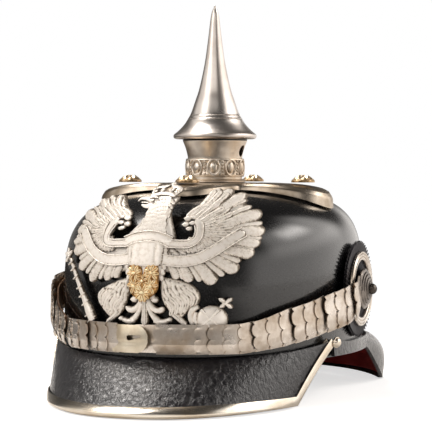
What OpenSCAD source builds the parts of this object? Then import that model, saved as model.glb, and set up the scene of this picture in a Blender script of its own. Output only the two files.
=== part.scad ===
/* [Skull] */
// Half width of the leather skull at its rim
shell_half_width = 91; // [87:0.5:95]
// Half length of the leather skull at its rim
shell_half_length = 110; // [106:0.5:114]
// Height of the skull's lower rim
shell_rim_z = 26; // [22:0.5:28]
// Height up to which the skull wall stands upright
shell_belt_z = 60; // [56:0.5:64]
// Height of the skull's crown
shell_crown_z = 125; // [120:0.5:128]
// How square the dome's profile is at the sides
shell_squareness = 3.8; // [3.4:0.1:4.2]
// How much squarer it is at the rear, and rounder at the front
shell_squareness_shift = 0.6; // [0:0.1:0.8]
// Thickness of the skull leather
shell_wall = 2.6; // [2:0.1:3.2]
// Half width of the air hole in the crown
crown_hole_r = 12; // [10:0.5:14]

/* [Front visor] */
// How far the front visor reaches forward of the spike
front_reach = 150.4; // [140:0.2:158]
// How far inside the skull's half width the oval of the visor's edge runs
front_edge_tuck = 4.5; // [1:0.5:9]
// Angle on that oval at which the square corner sits
front_corner_angle = 26.5; // [22:0.5:32]
// Height of the visor's edge at its corners
front_corner_z = 2.6; // [2.4:0.1:4]
// Height of the visor's edge at the middle of the front
front_lip_z = 3.5; // [3:0.5:8]
// How square the oval of the visor's edge is
front_edge_squareness = 2.2; // [2:0.05:2.3]
// Angle on the skull's oval at which front and rear visor meet
visor_split_angle = 18.5; // [15:0.5:22]
// Height of both visors' upper edge where they meet
visor_root_side_z = 37; // [36:0.5:40]
// Height of the front visor's upper edge at the front
front_root_z = 31; // [29:0.5:33]
// Thickness of the visor leather
visor_leather = 2.4; // [1.8:0.1:3]
// Thickness of the lining under a visor
lining_thickness = 0.9; // [0.6:0.1:1.4]

/* [Front trim] */
// How far the metal trim laps onto the visor
trim_lap = 4.6; // [3.5:0.1:6]
// Thickness of the trim's sheet metal
trim_wall = 0.6; // [0.4:0.1:1]
// Radius of the knob at each end of the trim
knob_r = 3.4; // [3:0.1:4]

/* [Rear visor] */
// How far the neck guard swells outwards between its edges
guard_swell = 9; // [3:0.5:10]
// How far the rear visor reaches behind the spike
rear_reach = 150; // [142:1:158]
// Half width of the oval that the rear edge follows
rear_edge_half_width = 105; // [100:1:106]
// Height of the side strip's lower edge
side_strip_z = 27; // [24:0.5:29]
// How far the side strip flares out from the skull
side_strip_flare = 3.6; // [3:0.1:4.2]
// Angle at which the rear visor begins to drop from the side strip
guard_start_angle = 13; // [10:1:18]
// Angle over which it drops
guard_drop_angle = 23; // [18:1:28]
// Height of the rear visor's upper edge
rear_root_z = 34.4; // [33:0.1:34.8]

/* [Rear spine] */
// Width of the metal spine down the back
spine_width = 9; // [7:0.5:12]
// Thickness of the spine
spine_thickness = 1.3; // [0.9:0.1:1.8]

/* [Cross base] */
// Reach of the side arms
arm_reach_side = 77.5; // [74:0.5:80]
// Reach of the front arm
arm_reach_front = 66; // [62:0.5:70]
// Reach of the rear arm
arm_reach_rear = 90; // [86:0.5:94]
// Half width of each arm
arm_half_width = 24; // [21:0.5:27]
// Height of the hub's top
hub_z = 130; // [129:0.5:132]
// Thickness of the sheet metal
base_sheet = 1.2; // [0.8:0.1:1.6]
// Distance of each star stud from its arm's tip
stud_from_tip = 19; // [17:0.5:22]
// Radius of a star stud
stud_r = 7.3; // [6:0.1:8]
// Height of a star stud
stud_height = 4.6; // [3.5:0.1:6]
// Radius of a stud's shank
stud_shank_r = 1.4; // [1.1:0.1:1.8]

/* [Spike] */
// Radius of the neck's upright part
neck_r = 17.2; // [16:0.1:18.5]
// Radius of the neck's flared mouth
neck_mouth_r = 20.3; // [19.5:0.1:22]
// Thickness of the neck's sheet metal
neck_wall = 1.2; // [0.8:0.1:1.6]
// Height of the neck's mouth above the hub
neck_height = 26.4; // [24:0.1:29]
// Radius of the disc under the neck
neck_foot_r = 19.4; // [18.8:0.1:21]
// Radius of each vent hole in the neck
vent_r = 3.6; // [2.5:0.1:4]
// Radius of the spike's flange
flange_r = 26.3; // [24:0.1:29]
// Height of the spike above the neck's mouth
spike_height = 84.2; // [76:0.1:92]
// Radius of the spike's threaded stub
stub_r = 7; // [6:0.1:8]
// Length of the stub
stub_length = 20; // [18:0.5:22]
// Clearance between the stub and its thread ring
stub_clearance = 0.08; // [0.04:0.01:0.1]
// Pearls round the neck
pearls = 10; // [8:1:14]

/* [Cockades] */
// Height of the cockade's centre
cockade_z = 65; // [64:0.5:68]
// Distance of the cockade's centre behind the spike's axis
cockade_y = 4; // [2:0.5:6]
// Radius over the cockade's teeth
cockade_r = 29.6; // [27:0.1:30]
// Teeth round the cockade
cockade_teeth = 60; // [40:2:64]
// Thickness of the pleated leather disc
cockade_thickness = 2.4; // [1.8:0.1:2.8]
// Outer radius of the metal ring on the cockade
ring_outer_r = 23; // [21:0.5:24]
// Width of that ring's band
ring_band = 5.4; // [4:0.1:6.5]
// Thickness of that ring
ring_thickness = 1.8; // [1.2:0.1:2.2]
// Radius of the screw through the cockade
screw_r = 2; // [1.6:0.1:2.4]

/* [Chin scales] */
// Half width of a scale at the cockade
scale_half_width = 12; // [10:0.5:12.5]
// Half width of a scale at the front
scale_half_width_front = 9.8; // [8.5:0.1:11]
// Thickness of a scale
scale_sheet = 0.6; // [0.4:0.05:0.8]
// Length by which one scale laps the next
scale_lap = 2; // [1.6:0.1:2.4]
// Height of the scales' centre line at the front
strap_front_z = 42.7; // [42:0.1:44]
// Gap between the skull and the back of the strap at the front
strap_gap = 3.6; // [3.2:0.1:4.5]
// Thickness of the strap's leather
strap_leather = 1.2; // [0.9:0.1:1.4]
// Radius of the domed boss at the cockade
boss_r = 12.4; // [11.5:0.1:13]

/* [Inside] */
// Height of the sweatband
sweatband_height = 32; // [28:1:33]
// Thickness of the sweatband
sweatband_thickness = 1.8; // [1.2:0.1:2.2]
// Height of the silk liner's gathered top
liner_crown_z = 104; // [98:1:106]
// Radius of the opening in the liner's top
liner_hole_r = 20; // [16:1:24]
// Thickness of the silk liner
liner_thickness = 0.8; // [0.6:0.1:1.2]

/* [Eagle] */
// Width of the plate over its wings
plate_width = 124; // [118:1:125]
// Height of the plate's middle
plate_middle_z = 90; // [89.5:0.5:91]
// How far beyond the skull's half width the plate's back lies
plate_side_gap = 3.2; // [2.8:0.1:5]
// How far in front of the skull the plate's back lies
plate_front_gap = 3; // [2.8:0.1:4]
// How far above the skull's crown the surface behind the plate would close
plate_crown_rise = 17; // [15:1:25]
// Thickness of the plate
plate_sheet = 1.4; // [1:0.1:2]
// Feathers in each wing's outer row
wing_feathers = 10; // [8:1:13]
// Radius of the posts that hold the plate
post_r = 1.5; // [1.2:0.1:1.8]

/* [Hidden] */
$fn = 48;

// Gap between a curved piece and the curved piece it lies on
seat_gap = 0.5;
// Gap between a flat piece and the flat piece it lies on
flat_gap = 0.3;
// Clearance round a shank in its hole
shank_clearance = 0.2;
// Length of a cutter that passes right through a wall
through_cut = 40;

// Colours as seen in the photograph
silver = [0.82, 0.79, 0.75];
steel = [0.55, 0.52, 0.5];
gilt = [0.83, 0.66, 0.4];
brass = [0.72, 0.58, 0.32];
lacquer = [0.07, 0.07, 0.08];
black_leather = [0.12, 0.12, 0.13];
red_leather = [0.3, 0.08, 0.08];
green_leather = [0.13, 0.22, 0.14];
tan_leather = [0.5, 0.36, 0.24];
silk = [0.75, 0.68, 0.55];

function unit(v) = v / norm(v);
function mix(a, b, k) = a + (b - a) * k;
function clamp01(k) = min(1, max(0, k));
function smooth(k) = let(c = clamp01(k)) c * c * (3 - 2 * c);
function oval(a, b, angle, z) = [a * cos(angle), b * sin(angle), z];

// A closed solid between an outer and an inner grid of points; looped joins the last row to the first
function grid_faces(rows, cols, looped) =
    let(
        base = rows * cols,
        last = looped ? rows - 1 : rows - 2,
        strip = function(a, b, c, d) [[a, b, c], [a, c, d]]
    )
    concat(
        [for (i = [0:last], j = [0:cols - 2], t = strip(
            i * cols + j, (i + 1) % rows * cols + j,
            (i + 1) % rows * cols + j + 1, i * cols + j + 1)) t],
        [for (i = [0:last], j = [0:cols - 2], t = strip(
            base + i * cols + j + 1, base + (i + 1) % rows * cols + j + 1,
            base + (i + 1) % rows * cols + j, base + i * cols + j)) t],
        [for (i = [0:last], t = strip(
            base + i * cols, base + (i + 1) % rows * cols, (i + 1) % rows * cols, i * cols)) t],
        [for (i = [0:last], t = strip(
            i * cols + cols - 1, (i + 1) % rows * cols + cols - 1,
            base + (i + 1) % rows * cols + cols - 1, base + i * cols + cols - 1)) t],
        looped ? [] : [for (j = [0:cols - 2], t = strip(j, j + 1, base + j + 1, base + j)) t],
        looped ? [] : let(end = (rows - 1) * cols) [for (j = [0:cols - 2], t = strip(
            end + j + 1, end + j, base + end + j, base + end + j + 1)) t]
    );
function six_volumes(points, faces) =
    [for (f = faces) cross(points[f[0]], points[f[1]]) * points[f[2]]] * [for (f = faces) 1];
function backwards(faces) = [for (f = faces) [f[2], f[1], f[0]]];
function joined(grid) = [for (row = grid, p = row) p];

module grid_solid(outer, inner, looped = false) {
    points = concat(joined(outer), joined(inner));
    faces = grid_faces(len(outer), len(outer[0]), looped);
    polyhedron(points, six_volumes(points, faces) < 0 ? faces : backwards(faces));
}

// The skull's surface, grown outwards by a given amount
dome_rise = shell_crown_z - shell_belt_z;
function squareness(angle) = shell_squareness + shell_squareness_shift * sin(angle);
function dome_z(x, y, grow) =
    let(
        u = x / (shell_half_width + grow),
        v = y / (shell_half_length + grow),
        n = squareness(atan2(v, u))
    )
    shell_belt_z + (dome_rise + grow) * pow(max(0, 1 - pow(norm([u, v]), n)), 1 / n);
function dome_point(angle, lift, grow) =
    let(
        n = squareness(angle),
        r = pow(cos(lift), 2 / n),
        h = pow(sin(lift), 2 / n)
    )
    [(shell_half_width + grow) * r * cos(angle), (shell_half_length + grow) * r * sin(angle),
        shell_belt_z + (dome_rise + grow) * h];
function hole_lift(angle) = acos(pow(crown_hole_r / shell_half_width, squareness(angle) / 2));
dome_lifts = [86, 81, 74, 65, 55, 45, 34, 22, 11, 0];
function wall_line(angle, grow, rim) = concat(
    [for (lift = concat([hole_lift(angle)], dome_lifts)) dome_point(angle, lift, grow)],
    [oval(shell_half_width + grow, shell_half_length + grow, angle, rim)]);

shell_steps = 48;

module skull_shell() {
    color(lacquer) difference() {
        grid_solid(
            [for (i = [0:shell_steps - 1]) wall_line(i * 360 / shell_steps, 0, shell_rim_z)],
            [for (i = [0:shell_steps - 1]) wall_line(i * 360 / shell_steps, -shell_wall, shell_rim_z)],
            looped = true);
        stud_places() cylinder(r = stud_shank_r + shank_clearance, h = through_cut, center = true);
        for (side = [-1, 1]) {
            cockade_place(side) cylinder(r = screw_r + shank_clearance, h = through_cut, center = true);
            post_place(side) cylinder(r = post_r + shank_clearance, h = through_cut, center = true);
        }
        for (z = spine_pin_heights) {
            spine_pin_place(z) cylinder(r = pin_r + shank_clearance, h = through_cut / 2, center = true);
        }
    }
}

// Front visor: a sheet from its root on the skull to its square-cut edge
front_steps = 36;
front_rows = [0, 0.25, 0.5, 0.75, 1];
// Room for the trim's inner edge between the visor's upper corner and the skull
root_stand_off = 2.1;
front_edge_half_width = shell_half_width - front_edge_tuck;
function front_root(t) =
    let(
        angle = -90 + t * (90 - visor_split_angle),
        grow = seat_gap + visor_leather + mix(0.3, root_stand_off, clamp01((abs(t) - 0.7) / 0.3))
    )
    oval(shell_half_width + grow, shell_half_length + grow, angle,
        mix(front_root_z, visor_root_side_z, pow(abs(t), 3)));
function front_edge(t) =
    let(angle = -90 + t * (90 - front_corner_angle), power = 2 / front_edge_squareness, c = cos(angle))
    [front_edge_half_width * sign(c) * pow(abs(c), power),
        -(front_reach - trim_nose) * pow(-sin(angle), power), mix(front_lip_z, front_corner_z, t * t)];
front_crown = 1.5;
function front_point(t, s) =
    mix(front_root(t), front_edge(t), s) + [0, 0, front_crown * sin(180 * s)];
function front_normal(t, s) =
    let(e = 0.01, t1 = min(1, t + e), t0 = max(-1, t - e), s1 = min(1, s + e), s0 = max(0, s - e))
    unit(cross(front_point(t, s1) - front_point(t, s0), front_point(t1, s) - front_point(t0, s)));
function front_layer(t, s, depth) = front_point(t, s) - front_normal(t, s) * depth;
module front_sheet(top, thickness, s_start, s_end, t_end) {
    function row(t, depth) = [for (s = front_rows) front_layer(t, mix(s_start, s_end, s), depth)];
    steps = [for (i = [0:front_steps]) t_end * (2 * i / front_steps - 1)];
    grid_solid([for (t = steps) row(t, top)], [for (t = steps) row(t, top + thickness)]);
}

module front_visor() {
    color(black_leather) front_sheet(0, visor_leather, 0, 1, 1);
}

module front_visor_lining() {
    start = (visor_root_side_z - shell_rim_z + 2.5) / (visor_root_side_z - front_corner_z);
    color(green_leather) front_sheet(visor_leather + seat_gap, lining_thickness, start,
        1 - (trim_lap + 2.4) / 46, 1 - (trim_lap + 3) / 120);
}

// Trim: a U of sheet metal along both side edges and the front edge of the visor
trim_gap = 0.4;
trim_inner = visor_leather / 2 + trim_gap;
trim_outer = trim_inner + trim_wall;
trim_nose = trim_gap + trim_wall + 0.5;
trim_section_outer = [[-trim_lap, trim_outer], [trim_gap, trim_outer], [trim_nose, trim_outer * 0.5],
    [trim_nose, -trim_outer * 0.5], [trim_gap, -trim_outer], [-trim_lap, -trim_outer]];
trim_section_inner = [[-trim_lap, trim_inner], [trim_gap - 0.1, trim_inner], [trim_gap, trim_inner * 0.6],
    [trim_gap, -trim_inner * 0.6], [trim_gap - 0.1, -trim_inner], [-trim_lap, -trim_inner]];
trim_start = 0.08;
function side_out(side, s) =
    let(
        n = front_normal(side, s),
        along = unit(front_point(side, min(1, s + 0.02)) - front_point(side, max(0, s - 0.02)))
    )
    side * cross(n, along);
function edge_out(t) =
    let(
        n = front_normal(t, 1),
        along = unit(front_point(min(1, t + 0.02), 1) - front_point(max(-1, t - 0.02), 1))
    )
    cross(along, n);
function mitre(a, b) = (a + b) / (1 + a * b);
function trim_station(p, out, n, section) =
    [for (q = section) p - n * visor_leather / 2 + out * q[0] + n * q[1]];
side_steps = [for (i = [0:4]) mix(trim_start, 0.94, i / 4)];
front_trim_steps = front_steps;
function trim_rows(section) = concat(
    [for (s = side_steps) trim_station(front_point(-1, s), side_out(-1, s), front_normal(-1, s), section)],
    [trim_station(front_point(-1, 1), mitre(side_out(-1, 1), edge_out(-1)), front_normal(-1, 1), section)],
    [for (i = [1:front_trim_steps - 1]) let(t = 2 * i / front_trim_steps - 1)
        trim_station(front_point(t, 1), edge_out(t), front_normal(t, 1), section)],
    [trim_station(front_point(1, 1), mitre(side_out(1, 1), edge_out(1)), front_normal(1, 1), section)],
    [for (i = [4:-1:0]) let(s = side_steps[i])
        trim_station(front_point(1, s), side_out(1, s), front_normal(1, s), section)]);

module front_visor_trim() {
    color(silver) grid_solid(trim_rows(trim_section_outer), trim_rows(trim_section_inner));
}

// Round knobs that cover the trim's ends
module trim_knobs() {
    color(silver) for (side = [-1, 1]) {
        n = front_normal(side, 0);
        lift = trim_outer - visor_leather / 2 + flat_gap;
        translate(front_point(side, 0.04) + n * lift) rotate([0, acos(n[2]), atan2(n[1], n[0])])
            rotate_extrude($fn = 36) polygon([[0, 0], [knob_r, 0], [knob_r, 0.7], [knob_r * 0.86, 0.9],
                [knob_r * 0.8, 1.5], [knob_r * 0.62, 2.2], [knob_r * 0.34, 2.7], [0, 2.8]]);
    }
}

// Rear visor: a narrow strip at the sides that drops into a wide neck guard
rear_rows = [0, 0.12, 0.25, 0.4, 0.55, 0.7, 0.85, 1];
rear_steps = 52;
rear_from = -visor_split_angle + 0.4;
// Below 1, the guard swells most in its upper half
guard_swell_power = 0.7;
function rear_drop(angle) =
    let(a = angle > 90 ? 180 - angle : angle) smooth((a - guard_start_angle) / guard_drop_angle);
function rear_root(angle) =
    let(a = angle > 90 ? 180 - angle : angle)
    oval(shell_half_width + seat_gap + visor_leather, shell_half_length + seat_gap + visor_leather,
        angle, mix(rear_root_z, visor_root_side_z, pow(clamp01((-a - 6) / 12), 1.5)));
function rear_edge(angle) =
    let(
        k = rear_drop(angle),
        strip = side_strip_flare
    )
    mix(
        oval(shell_half_width + strip, shell_half_length + strip, angle, side_strip_z),
        oval(rear_edge_half_width, rear_reach, angle, 0),
        k);
function rear_point(angle, s) =
    mix(rear_root(angle), rear_edge(angle), s)
        + unit(oval(1, 1, angle, 0)) * (guard_swell * rear_drop(angle) * sin(180 * pow(s, guard_swell_power)));
function rear_normal(angle, s) =
    let(e = 0.01, d = 0.5, s1 = min(1, s + e), s0 = max(0, s - e))
    unit(cross(rear_point(angle + d, s) - rear_point(angle - d, s),
        rear_point(angle, s1) - rear_point(angle, s0)));
// The last row's inner point stays at the edge's own height, so the lower edge is flat
function rear_layer(angle, s, depth) =
    let(p = rear_point(angle, s), n = -rear_normal(angle, s), q = p + n * -depth)
    s < 1 ? q : let(flat = unit([n[0], n[1], 0])) p - flat * depth / max(0.6, norm([n[0], n[1]]));
module rear_sheet(top, thickness, s_start, s_end, from_angle) {
    function row(angle, depth) = [for (s = rear_rows) rear_layer(angle, mix(s_start, s_end, s), depth)];
    angles = [for (i = [0:rear_steps]) mix(from_angle, 180 - from_angle, i / rear_steps)];
    grid_solid([for (a = angles) row(a, top)], [for (a = angles) row(a, top + thickness)]);
}

module rear_visor() {
    color(black_leather) rear_sheet(0, visor_leather, 0, 1, rear_from);
}

module rear_visor_lining() {
    color(red_leather) rear_sheet(visor_leather + seat_gap, lining_thickness, 0.32, 0.9,
        guard_start_angle + 5);
}

// Spine: a strip down the back, over the skull and the rear visor
spine_lift = seat_gap + spine_thickness;
rear_squareness = squareness(90);
spine_top_lift = acos(pow((arm_reach_rear + 0.8) / shell_half_length, rear_squareness / 2));
function spine_path() = concat(
    [for (i = [0:8]) let(p = dome_point(90, mix(spine_top_lift, 0, i / 8), seat_gap)) [p[1], p[2]]],
    [for (i = [1:2]) [shell_half_length + seat_gap, mix(shell_belt_z, rear_root_z + 12, i / 2)]],
    [[shell_half_length + 2 * seat_gap + visor_leather, rear_root_z + 2.5]],
    [for (s = [0.05, 0.12, 0.25, 0.4, 0.55, 0.7, 0.9]) let(p = rear_layer(90, s, -seat_gap)) [p[1], p[2]]]);
spine_points = spine_path();
function spine_side(i) =
    let(
        a = spine_points[max(0, i - 1)],
        b = spine_points[min(len(spine_points) - 1, i + 1)],
        d = unit(b - a)
    )
    [-d[1], d[0]];
spine_across = [-1, -0.6, 0, 0.6, 1];
function spine_row(i, top) =
    [for (w = spine_across)
        let(h = top ? spine_thickness * (1 - 0.5 * w * w) : 0, p = spine_points[i] + spine_side(i) * h)
        [w * spine_width / 2, p[0], p[1]]];

module rear_spine() {
    color(silver) difference() {
        grid_solid([for (i = [0:len(spine_points) - 1]) spine_row(i, true)],
            [for (i = [0:len(spine_points) - 1]) spine_row(i, false)]);
        for (z = spine_pin_heights) {
            spine_pin_place(z) cylinder(r = pin_r + shank_clearance, h = through_cut / 2, center = true);
        }
    }
}

pin_r = 1;
spine_pin_heights = [shell_belt_z + 22, shell_belt_z + 4];
spine_pin_head_r = 2;
module spine_pin_place(z) {
    y = shell_half_length * pow(1 - pow(max(0, z - shell_belt_z) / dome_rise, rear_squareness),
        1 / rear_squareness);
    translate([0, y, z]) rotate([-90, 0, 0]) children();
}

module spine_pins() {
    color(silver) for (z = spine_pin_heights) {
        spine_pin_place(z) {
            translate([0, 0, spine_lift + 0.5]) cylinder(r1 = spine_pin_head_r, r2 = pin_r, h = 1.2);
            translate([0, 0, -shell_wall - 0.6]) cylinder(r = pin_r, h = shell_wall + spine_lift + 1.4);
        }
    }
}

// Cross base: four rounded arms in one arched sheet, its edge on the skull
base_steps = 60;
base_fractions = [0, 0.35, 0.65, 0.85, 0.95, 1];
hub_flat_r = neck_foot_r + 1;
function lobe_reach(angle, reach) =
    let(c = cos(angle), s = abs(sin(angle)), straight = reach - arm_half_width * 1.45,
        long = reach - straight)
    c <= 0.001 ? 0
    : let(
        side_hit = s < 0.001 ? 1e6 : arm_half_width / s,
        a = pow(c / long, 2) + pow(s / arm_half_width, 2),
        b = -2 * straight * c / (long * long),
        k = straight * straight / (long * long) - 1,
        end_hit = (-b + sqrt(max(0, b * b - 4 * a * k))) / (2 * a)
    )
    side_hit * c < straight ? side_hit : end_hit;
function arm_reach(angle) =
    let(reaches = [lobe_reach(angle, arm_reach_side), lobe_reach(180 - angle, arm_reach_side),
        lobe_reach(angle - 90, arm_reach_rear), lobe_reach(angle + 90, arm_reach_front)])
    pow([for (r = reaches) pow(r, 9)] * [1, 1, 1, 1], 1 / 9);
function base_top(angle, r) =
    let(
        reach = arm_reach(angle),
        edge_z = dome_z(reach * cos(angle), reach * sin(angle), 0) + seat_gap + base_sheet,
        q = clamp01((r - hub_flat_r) / (reach - hub_flat_r))
    )
    r <= hub_flat_r ? hub_z : edge_z + (hub_z - edge_z) * pow(max(0, 1 - pow(q, 3.4)), 1 / 3.4);
function base_row(angle, depth) =
    [for (r = concat([crown_hole_r], [for (f = base_fractions) mix(hub_flat_r, arm_reach(angle), f)]))
        [r * cos(angle), r * sin(angle), base_top(angle, r) - depth]];

module cross_base() {
    color(silver) difference() {
        grid_solid([for (i = [0:base_steps - 1]) base_row(i * 360 / base_steps, 0)],
            [for (i = [0:base_steps - 1]) base_row(i * 360 / base_steps, base_sheet)], looped = true);
        stud_places() cylinder(r = stud_shank_r + shank_clearance, h = through_cut, center = true);
    }
}

// Star studs stand on the ridge of each arm, and a nut inside the skull holds each one
stud_spots = [[arm_reach_side - stud_from_tip, 0], [-arm_reach_side + stud_from_tip, 0],
    [0, arm_reach_rear - stud_from_tip], [0, -arm_reach_front + stud_from_tip]];
module stud_places() {
    for (p = stud_spots) {
        translate([p[0], p[1], hub_z + flat_gap]) children();
    }
}
nut_r = 4;
nut_height = 2.4;
// Gap that keeps a flat nut's corners clear of the curved wall
nut_gap = 1.1;
function nut_top_z(p) = dome_z(p[0] + nut_r * sign(p[0]), p[1] + nut_r * sign(p[1]), -shell_wall) - nut_gap;

module base_star_studs() {
    color(gilt) for (p = stud_spots) {
        translate([p[0], p[1], hub_z + flat_gap]) {
            cylinder(r = stud_r, h = 1);
            for (turn = [0, 22.5]) {
                rotate([0, 0, turn]) translate([0, 0, 1])
                    cylinder(r1 = stud_r * 0.96, r2 = 1, h = stud_height - 1, $fn = 8);
            }
            shank = hub_z - nut_top_z(p) + nut_height + 1.5;
            translate([0, 0, -shank]) cylinder(r = stud_shank_r, h = shank + 0.5);
        }
    }
}

module square_nut(bore) {
    difference() {
        translate([-nut_r, -nut_r, 0]) cube([2 * nut_r, 2 * nut_r, nut_height]);
        translate([0, 0, -1]) cylinder(r = bore, h = nut_height + 2);
    }
}

module base_stud_nuts() {
    color(brass) for (p = stud_spots) {
        translate([p[0], p[1], nut_top_z(p) - nut_height]) square_nut(stud_shank_r + 0.1);
    }
}

// Neck: a foot disc and a flaring tube with a vent hole on each side
neck_foot_height = 1.6;
neck_top_z = hub_z + neck_height;
ring_z = hub_z + 3.8;
ring_height = 11.4;
module spike_neck() {
    color(silver) difference() {
        rotate_extrude($fn = 72) polygon([
            [crown_hole_r + 1.5, hub_z + flat_gap], [neck_foot_r, hub_z + flat_gap],
            [neck_foot_r, hub_z + neck_foot_height], [neck_r, hub_z + neck_foot_height + 0.6],
            [neck_r, neck_top_z - 10], [neck_r + 0.6, neck_top_z - 7.4],
            [mix(neck_r, neck_mouth_r, 0.5), neck_top_z - 4], [neck_mouth_r, neck_top_z],
            [neck_mouth_r - neck_wall, neck_top_z],
            [mix(neck_r, neck_mouth_r, 0.5) - neck_wall, neck_top_z - 4],
            [neck_r + 0.6 - neck_wall, neck_top_z - 7.4], [neck_r - neck_wall, neck_top_z - 10],
            [neck_r - neck_wall, hub_z + 3.2], [crown_hole_r + 1.5, hub_z + 3.2]]);
        for (side = [0, 180]) {
            rotate([0, 0, side]) translate([0, 0, neck_top_z - 6.4]) rotate([0, 90, 0])
                cylinder(r = vent_r, h = 2 * neck_r);
        }
    }
}

// Pearl ring: a lobed band, one lobe for each pearl, between two narrow rims
pearl_bulge = 0.9;
pearl_rim = 0.6;
module pearl_ring() {
    band_r = neck_r + flat_gap;
    rim = 1.4;
    lobe_steps = 8 * pearls;
    color(silver) difference() {
        union() {
            for (z = [ring_z, ring_z + ring_height - rim]) {
                translate([0, 0, z]) cylinder(r = band_r + pearl_rim, h = rim);
            }
            translate([0, 0, ring_z + rim / 2]) linear_extrude(ring_height - rim)
                polygon([for (i = [0:lobe_steps - 1])
                    let(a = i * 360 / lobe_steps, r = band_r + pearl_rim - 0.2 + pearl_bulge * abs(cos(a * pearls / 2)))
                    [r * cos(a), r * sin(a)]]);
        }
        translate([0, 0, ring_z - 1]) cylinder(r = band_r, h = ring_height + 2);
    }
}

// Thread ring: fixed in the neck below the vents, with air holes round its bore
thread_ring_height = 8;
thread_ring_z = hub_z + 3.5;
module thread_ring() {
    color(brass) difference() {
        translate([0, 0, thread_ring_z]) cylinder(r = neck_r - neck_wall - 0.1, h = thread_ring_height);
        translate([0, 0, thread_ring_z - 1]) cylinder(r = stub_r + stub_clearance, h = thread_ring_height + 2);
        for (i = [0:5]) {
            rotate([0, 0, i * 60 + 30]) translate([(neck_r - neck_wall + stub_r) / 2, 0, thread_ring_z - 1])
                cylinder(r = 2.4, h = thread_ring_height + 2);
        }
    }
}

washer_height = 0.8;
washer_gap = 0.15;
module spike_washer() {
    color(black_leather) translate([0, 0, neck_top_z + washer_gap]) difference() {
        cylinder(r = neck_mouth_r, h = washer_height);
        translate([0, 0, -1]) cylinder(r = stub_r + 0.6, h = washer_height + 2);
    }
}

// Spike: a hollow bell and point with a threaded stub below, which unscrews upwards
spike_foot_z = neck_top_z + 2 * washer_gap + washer_height;
function spike_line() = [
    [flange_r - 2, 0], [flange_r - 0.5, 0.5], [flange_r, 1.8], [flange_r - 0.6, 3.2],
    [flange_r * 0.865, 5.6], [flange_r * 0.735, 9.3], [flange_r * 0.64, 13.2], [flange_r * 0.567, 17],
    [flange_r * 0.467, 24.6], [flange_r * 0.373, 32.3], [flange_r * 0.25, 47.3],
    [flange_r * 0.167, 62.6], [flange_r * 0.095, 77.8]];
module spike() {
    wall = 1.2;
    stretch = spike_height / 84.2;
    outer = [for (p = spike_line()) [p[0], p[1] * stretch]];
    inner = [for (i = [10:-1:4]) [outer[i][0] - wall, outer[i][1]]];
    color(silver) translate([0, 0, spike_foot_z]) {
        rotate_extrude($fn = 96) polygon(concat(
            [[0, 0]], outer, [[0.9, spike_height - 1.6], [0, spike_height - 1.25]],
            [[0, 52 * stretch]], inner, [[flange_r * 0.72, 2.2], [0, 2.2]]));
        translate([0, 0, -stub_length]) cylinder(r = stub_r, h = stub_length + 1);
    }
}

// Cockades lie upright against the sides, their axis along X
module cockade_place(side) {
    translate([side * shell_half_width, cockade_y, cockade_z]) rotate([0, side * 90, 0]) children();
}
disc_face = seat_gap + cockade_thickness;
ring_face = disc_face + flat_gap + ring_thickness;
strap_side_gap = ring_face + flat_gap;
module cockade_disc(side) {
    color(black_leather) cockade_place(side) difference() {
        translate([0, 0, seat_gap]) linear_extrude(cockade_thickness)
            polygon([for (i = [0:2 * cockade_teeth - 1])
                let(r = i % 2 == 0 ? cockade_r : cockade_r - 2.4, a = i * 180 / cockade_teeth)
                [r * cos(a), r * sin(a)]]);
        cylinder(r = screw_r + shank_clearance, h = 20);
    }
}
module cockade_disc_left() { cockade_disc(1); }
module cockade_disc_right() { cockade_disc(-1); }

module cockade_ring(side) {
    color(silver) cockade_place(side) rotate_extrude($fn = 72) {
        base = disc_face + flat_gap;
        inner = ring_outer_r - ring_band;
        polygon([[inner, base], [ring_outer_r, base], [ring_outer_r, base + ring_thickness * 0.6],
            [ring_outer_r - 1, base + ring_thickness], [inner + ring_band / 2 + 0.4, base + ring_thickness],
            [inner + ring_band / 2, base + ring_thickness * 0.6],
            [inner + ring_band / 2 - 0.4, base + ring_thickness], [inner + 0.6, base + ring_thickness],
            [inner, base + ring_thickness * 0.5]]);
    }
}
module cockade_ring_left() { cockade_ring(1); }
module cockade_ring_right() { cockade_ring(-1); }

boss_height = 4.9;
screw_head_r = 3.4;
module cockade_screws() {
    color(steel) for (side = [-1, 1]) {
        cockade_place(side) difference() {
            union() {
                translate([0, 0, -shell_wall - nut_gap - nut_height - 0.6])
                    cylinder(r = screw_r,
                        h = shell_wall + nut_gap + nut_height + 0.6 + strap_side_gap + boss_height + 1.1);
                translate([0, 0, strap_side_gap + boss_height + flat_gap]) intersection() {
                    sphere(r = screw_head_r);
                    cylinder(r = screw_head_r, h = screw_head_r);
                }
            }
            translate([-screw_head_r, -0.4, strap_side_gap + boss_height + flat_gap + screw_head_r - 1.2])
                cube([2 * screw_head_r, 0.8, 3]);
        }
    }
}

module cockade_nuts() {
    color(brass) for (side = [-1, 1]) {
        cockade_place(side) translate([0, 0, -shell_wall - nut_gap - nut_height])
            square_nut(screw_r + 0.1);
    }
}

// Chin strap: its path lies round the skull from the cockade to the front
strap_tilt = 12;
first_hinge_angle = -11;
hinge_angles = [first_hinge_angle, -24.5, -38, -52, -66.5];
function strap_gap_at(angle) =
    let(bulge = strap_side_gap + 1.55)
    angle > -10 ? mix(strap_side_gap, bulge, clamp01(-angle / 10))
    : mix(bulge, strap_gap, smooth((-angle - 10) / 20));
function strap_z_at(angle) =
    let(k = clamp01((angle + 58) / 60))
    mix(strap_front_z, cockade_z, pow(k, 1.25));
function strap_point(angle) =
    let(
        a = max(angle, -90) ,
        g = strap_gap_at(a),
        p = oval(shell_half_width, shell_half_length, a, strap_z_at(a)),
        n = unit([cos(a) / shell_half_width, sin(a) / shell_half_length, 0])
    )
    angle < -90 ? let(q = strap_point(-180 - angle)) [-q[0], q[1], q[2]] : p + n * g;
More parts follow.
